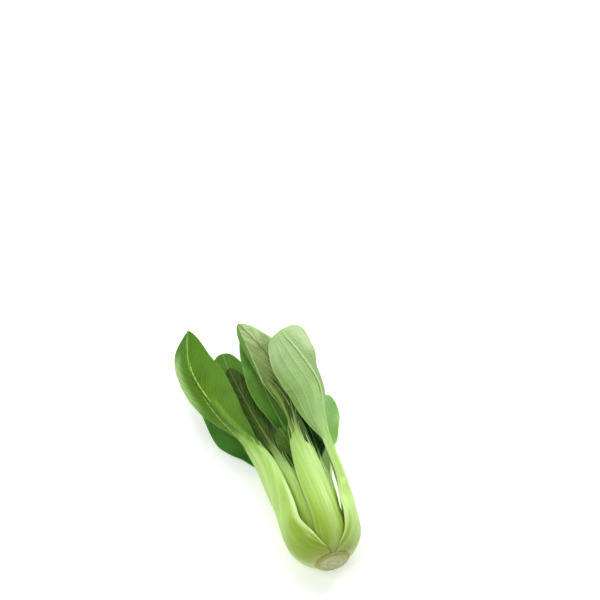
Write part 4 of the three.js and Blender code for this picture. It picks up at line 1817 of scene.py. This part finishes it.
@dataclass(frozen=True)
class Studio:
    """The floor, the soft lights and the camera, in metres and degrees.

    Attributes:
        sky: Brightness of the even pale sky.
        lights: The soft lights.
        reach: Their distance from the bunch.
        target: The point that the camera looks at.
        azimuth: The camera's turn round the bunch.
        elevation: Its height above the horizon.
        distance: Its distance from the target.
        view_width: Width of what it sees at that distance.
        sensor: Width of its sensor.
        floor: Half width of the floor.
    """

    sky: float = 0.42
    lights: tuple[SoftLight, ...] = (
        SoftLight("right_light", 126.0, 27.0, 0.45, 7.0),
        SoftLight("left_light", -75.0, 55.0, 0.8, 6.0),
        SoftLight("back_light", 165.0, 55.0, 1.0, 9.0),
    )
    reach: float = 1.4
    target: tuple[float, float, float] = (0.02893, 0.039085, 0.11342)
    azimuth: float = -17.0
    elevation: float = 55.0
    distance: float = 1.1
    view_width: float = 0.378
    sensor: float = 36.0
    floor: float = 3.0

    def direction(self, azimuth: float, elevation: float) -> Vector:
        """Gives the direction from the target to something seen at two angles.

        Args:
            azimuth: Turn from -Y towards +X.
            elevation: Height above the horizon.

        Returns:
            The direction.
        """
        a, e = math.radians(azimuth), math.radians(elevation)
        return Vector((math.sin(a) * math.cos(e), -math.cos(a) * math.cos(e), math.sin(e)))

    def add_aimed(
        self, data: bpy.types.ID, target: Sequence[float], angles: Sequence[float], distance: float
    ) -> bpy.types.Object:
        """Adds a camera or a light that faces a point.

        Args:
            data: The camera or the light.
            target: The point.
            angles: The azimuth and elevation that it is seen at from there.
            distance: Its distance from the point.

        Returns:
            The object.
        """
        back = self.direction(*angles)
        aimed = bpy.data.objects.new(data.name, data)
        aimed.location = Vector(target) + back * distance
        aimed.rotation_euler = back.to_track_quat("Z", "Y").to_euler()
        bpy.context.scene.collection.objects.link(aimed)
        return aimed

    def add_camera(self) -> None:
        """Adds the camera at the photograph's viewing angle."""
        data = bpy.data.cameras.new("camera")
        data.sensor_width = self.sensor
        data.lens = self.sensor * self.distance / self.view_width
        angles = (self.azimuth, self.elevation)
        bpy.context.scene.camera = self.add_aimed(data, self.target, angles, self.distance)

    def add_light(self, light: SoftLight) -> None:
        """Adds a soft light.

        Args:
            light: What it is like.
        """
        data = bpy.data.lights.new(light.name, "AREA")
        data.size = light.size
        data.energy = light.power
        self.add_aimed(data, (0.0, 0.0, 0.0), (light.azimuth, light.elevation), self.reach)

    def add_world(self) -> None:
        """Adds the even pale sky."""
        world = bpy.data.worlds.new("pale_sky")
        world.use_nodes = True
        sky = world.node_tree.nodes["Background"]
        sky.inputs["Color"].default_value = (0.97, 0.99, 1.0, 1.0)
        sky.inputs["Strength"].default_value = self.sky
        bpy.context.scene.world = world

    def add_floor(self) -> None:
        """Adds the plain pale floor."""
        w = self.floor
        corners = np.array([(-w, -w, 0.0), (w, -w, 0.0), (w, w, 0.0), (-w, w, 0.0)])
        floor = add_piece("floor", make_mesh("floor", corners, [(0, 1, 2, 3)]))
        floor.data.materials.append(FloorFinish().build())

    def build(self) -> None:
        """Adds the floor, the lights, the sky and the camera."""
        bpy.context.scene.view_settings.view_transform = "Standard"
        self.add_floor()
        self.add_world()
        for light in self.lights:
            self.add_light(light)
        self.add_camera()


LEAVES = (
    Leaf(
        name="left_leaf", ring=Ring.OUTER, angle=190, wrap=(96, 84, 74, 61),
        spine=((-20.6, 52, 4), (-25.8, 86, 6.5), (-41.6, 119, 11), (-50, 155, 10), (-42.5, 193, 3)),
        facing=(160, 132, 122, 118, 120), stalk=(11.5, 6.2), blade=(14, 20), stalk_cup=41,
        cup=((60, 50), (50, 35), (20, 30)), fold=(12, 10, 0), wave=Wave(1.4, 2),
        peak=(0.75, 0.52), rise=(1.05, 1.1), tip=(0.8, 0.8),
        finish=SMOOTH_GREEN, slot=Slot.BRIGHT, fineness=Fineness.FINE,
        veins=VeinRule(spread=0.42, power=1.05, pucker=0.08),
        comb=CombRule(lines=3, reach=25.0, spread=1.5, slant=4.5, depth=20.0, hold=0.4),
    ),
    Leaf(
        name="right_leaf", ring=Ring.OUTER, angle=4, wrap=(77, 57, 45, 38),
        spine=((22.3, 55, 1), (21.5, 86, 9), (27.4, 117, 17), (21, 142, 23), (13.5, 160, 26.5)),
        facing=(4, 42, 66, 72, 86), stalk=(5.5, 4.2), blade=(25.5, 18), stalk_cup=50,
        cup=((10, 70), (8, 80), (14, 26)), fold=(3, 5, 5), wave=Wave(0.5, 2),
        peak=(0.5, 0.88), rise=(0.65, 2.7), tip=(0.34, 0.25),
        finish=GREY_GREEN, slot=Slot.PALE, fineness=Fineness.FINE,
        veins=VeinRule(fan=0.27, jitter=0.14, pucker=0.25),
        comb=CombRule(lines=3, reach=10.0, spread=3.0, start=(0.0, 0.0)),
    ),
    Leaf(
        name="middle_leaf", ring=Ring.SECOND, angle=75, wrap=(66, 50, 42, 35),
        spine=((3, 55, 15.6), (3.4, 88, 18), (5.2, 118, 20), (0, 150, 20), (-10, 181, 14)),
        facing=(82, 90, 92, 95, 95), stalk=(8.8, 5.4), blade=(12.5, 14), stalk_cup=40,
        cup=((50, 55), (35, 55), (20, 35)), fold=(8, 8, 0), wave=Wave(0.9, 2),
        peak=(0.6, 0.6), rise=(1.1, 1.1), tip=(0.62, 0.62),
        finish=OLIVE, slot=Slot.PALE, fineness=Fineness.FINE,
        veins=VeinRule(spacing=16.0, spread=0.22, power=1.0),
        comb=CombRule(
            lines=3, growth=14.0, reach=20.0, spread=4.0, start=(-4.0, -13.0), depth=11.0, hold=0.12
        ),
    ),
    Leaf(
        name="low_left_leaf", ring=Ring.SECOND, angle=216, wrap=(52, 44, 38, 31),
        spine=(
            (-9.4, 54, -10.8), (-18.5, 82, -14.5), (-28.5, 106, -17.3),
            (-36, 132, -17.8), (-42, 157, -16.5),
        ),
        facing=(226, 250, 268, 270, 270), stalk=(4.8, 4.6), blade=(14, 14), stalk_cup=45,
        cup=((25, 25), (15, 15), (10, 10)), fold=(0, 0, 0), wave=Wave(1.3, 2.5),
        peak=(0.55, 0.55), rise=(1.1, 1.1), tip=(0.6, 0.6),
        finish=COOL_GREEN, slot=Slot.DARK,
    ),
    Leaf(
        name="low_right_leaf", ring=Ring.SECOND, angle=319, wrap=(42, 42, 38, 33),
        spine=((12.3, 52, -11.2), (20, 80, -14.6), (27, 100, -17.2), (33, 115, -17.8), (37, 128, -16.5)),
        facing=(310, 290, 278, 274, 272), stalk=(5.6, 4.3), blade=(9, 8), stalk_cup=45,
        cup=((25, 25), (15, 15), (10, 10)), fold=(0, 0, 0), wave=Wave(1.2, 2.5),
        peak=(0.55, 0.55), rise=(1.1, 1.1), tip=(0.5, 0.5),
        finish=PALE_GREEN, slot=Slot.DARK,
    ),
    Leaf(
        name="shaded_leaf", ring=Ring.THIRD, angle=142, wrap=(60, 52, 47, 43),
        spine=((-8.8, 49, 7.5), (-12.2, 76, 7.7), (-18.1, 111, 5), (-22, 137, 3), (-24, 157, 1)),
        facing=(125, 110, 105, 105, 105), stalk=(6.2, 4.6), blade=(12, 12), stalk_cup=50,
        cup=((40, 50), (30, 50), (20, 20)), fold=(8, 8, 0), wave=Wave(0.8, 2),
        peak=(0.55, 0.55), rise=(1.1, 1.0), tip=(0.6, 0.6),
        finish=SHADE_GREEN, slot=Slot.DARK,
        veins=VeinRule(spacing=11.0, spread=0.26, power=1.0),
        comb=CombRule(
            lines=3, growth=10.0, reach=36.0, spread=5.0, start=(-8.0, -12.0), depth=14.0, hold=0.4
        ),
    ),
    Leaf(
        name="far_leaf", ring=Ring.THIRD, angle=276, wrap=(58, 55, 50, 45),
        spine=((-0.5, 55, -10), (-8.5, 90, -10.5), (-18, 125, -11), (-22, 154, -12), (-22.5, 180, -15)),
        facing=(275, 272, 271, 270, 270), stalk=(4.6, 4.4), blade=(15, 15), stalk_cup=45,
        cup=((30, 30), (20, 20), (10, 10)), fold=(0, 0, 0), wave=Wave(1.0, 2),
        peak=(0.55, 0.55), rise=(1.1, 1.1), tip=(0.42, 0.42),
        finish=FAR_GREEN, slot=Slot.BRIGHT,
    ),
    Leaf(
        name="young_right_leaf", ring=Ring.THIRD, angle=20, wrap=(42, 42, 40, 36),
        spine=((12.5, 44, 4), (12.7, 62, 5.5), (13, 78, 7), (12.8, 92, 8.5), (12.3, 104, 9.5)),
        facing=(30, 45, 60, 70, 75), stalk=(5.2, 4), blade=(7.5, 9), stalk_cup=45,
        cup=((50, 50), (40, 40), (20, 20)), fold=(0, 0, 0), wave=Wave(1.3, 2.5),
        peak=(0.55, 0.55), rise=(1.1, 1.1), tip=(0.6, 0.6),
        finish=SHADED_YOUNG_GREEN, slot=Slot.DARK,
    ),
    Leaf(
        name="under_leaf", ring=Ring.INNER, angle=268, wrap=(68, 64, 58, 52),
        spine=((0, 55, -4), (0, 86, 2), (-5, 118, 7), (-8, 150, 9.5), (-9.6, 179, 9)),
        facing=(265, 262, 262, 262, 262), stalk=(5.5, 4.6), blade=(14, 11.5), stalk_cup=45,
        cup=((40, 40), (25, 25), (15, 15)), fold=(5, 5, 0), wave=Wave(0.6, 2.5),
        peak=(0.6, 0.5), rise=(1.1, 0.8), tip=(0.75, 1.0),
        finish=LIT_GREEN, slot=Slot.BRIGHT,
    ),
    Leaf(
        name="young_middle_leaf", ring=Ring.INNER, angle=95, wrap=(60, 56, 52, 48),
        spine=((-1.5, 44, 6), (-0.8, 58, 6), (-0.7, 70, 7.1), (-3, 83, 9.9), (-6.5, 96, 12)),
        # Its left half is 1.6 mm wider than its solid, over a sliver of floor.
        facing=(95, 92, 90, 90, 90), stalk=(4.2, 3.6), blade=(7.2, 6), stalk_cup=50,
        cup=((50, 50), (40, 40), (20, 20)), fold=(0, 0, 0), wave=Wave(1, 2.5),
        peak=(0.78, 0.55), rise=(2.4, 1.1), tip=(0.5, 0.6),
        finish=HEART_GREEN, slot=Slot.DARK,
        neck_thickness=2.6,
    ),
)


def main() -> None:
    """Builds the stem, the leaves and the studio."""
    logging.basicConfig(level=logging.INFO, format="%(message)s")
    pieces = CutStem().build()
    for leaf in LEAVES:
        pieces += leaf.build()
    for piece in pieces:
        triangles = sum(len(face.vertices) - 2 for face in piece.data.polygons)
        log.info("%s: %d triangles", piece.name, triangles)
    Studio().build()


if __name__ == "__main__":
    main()
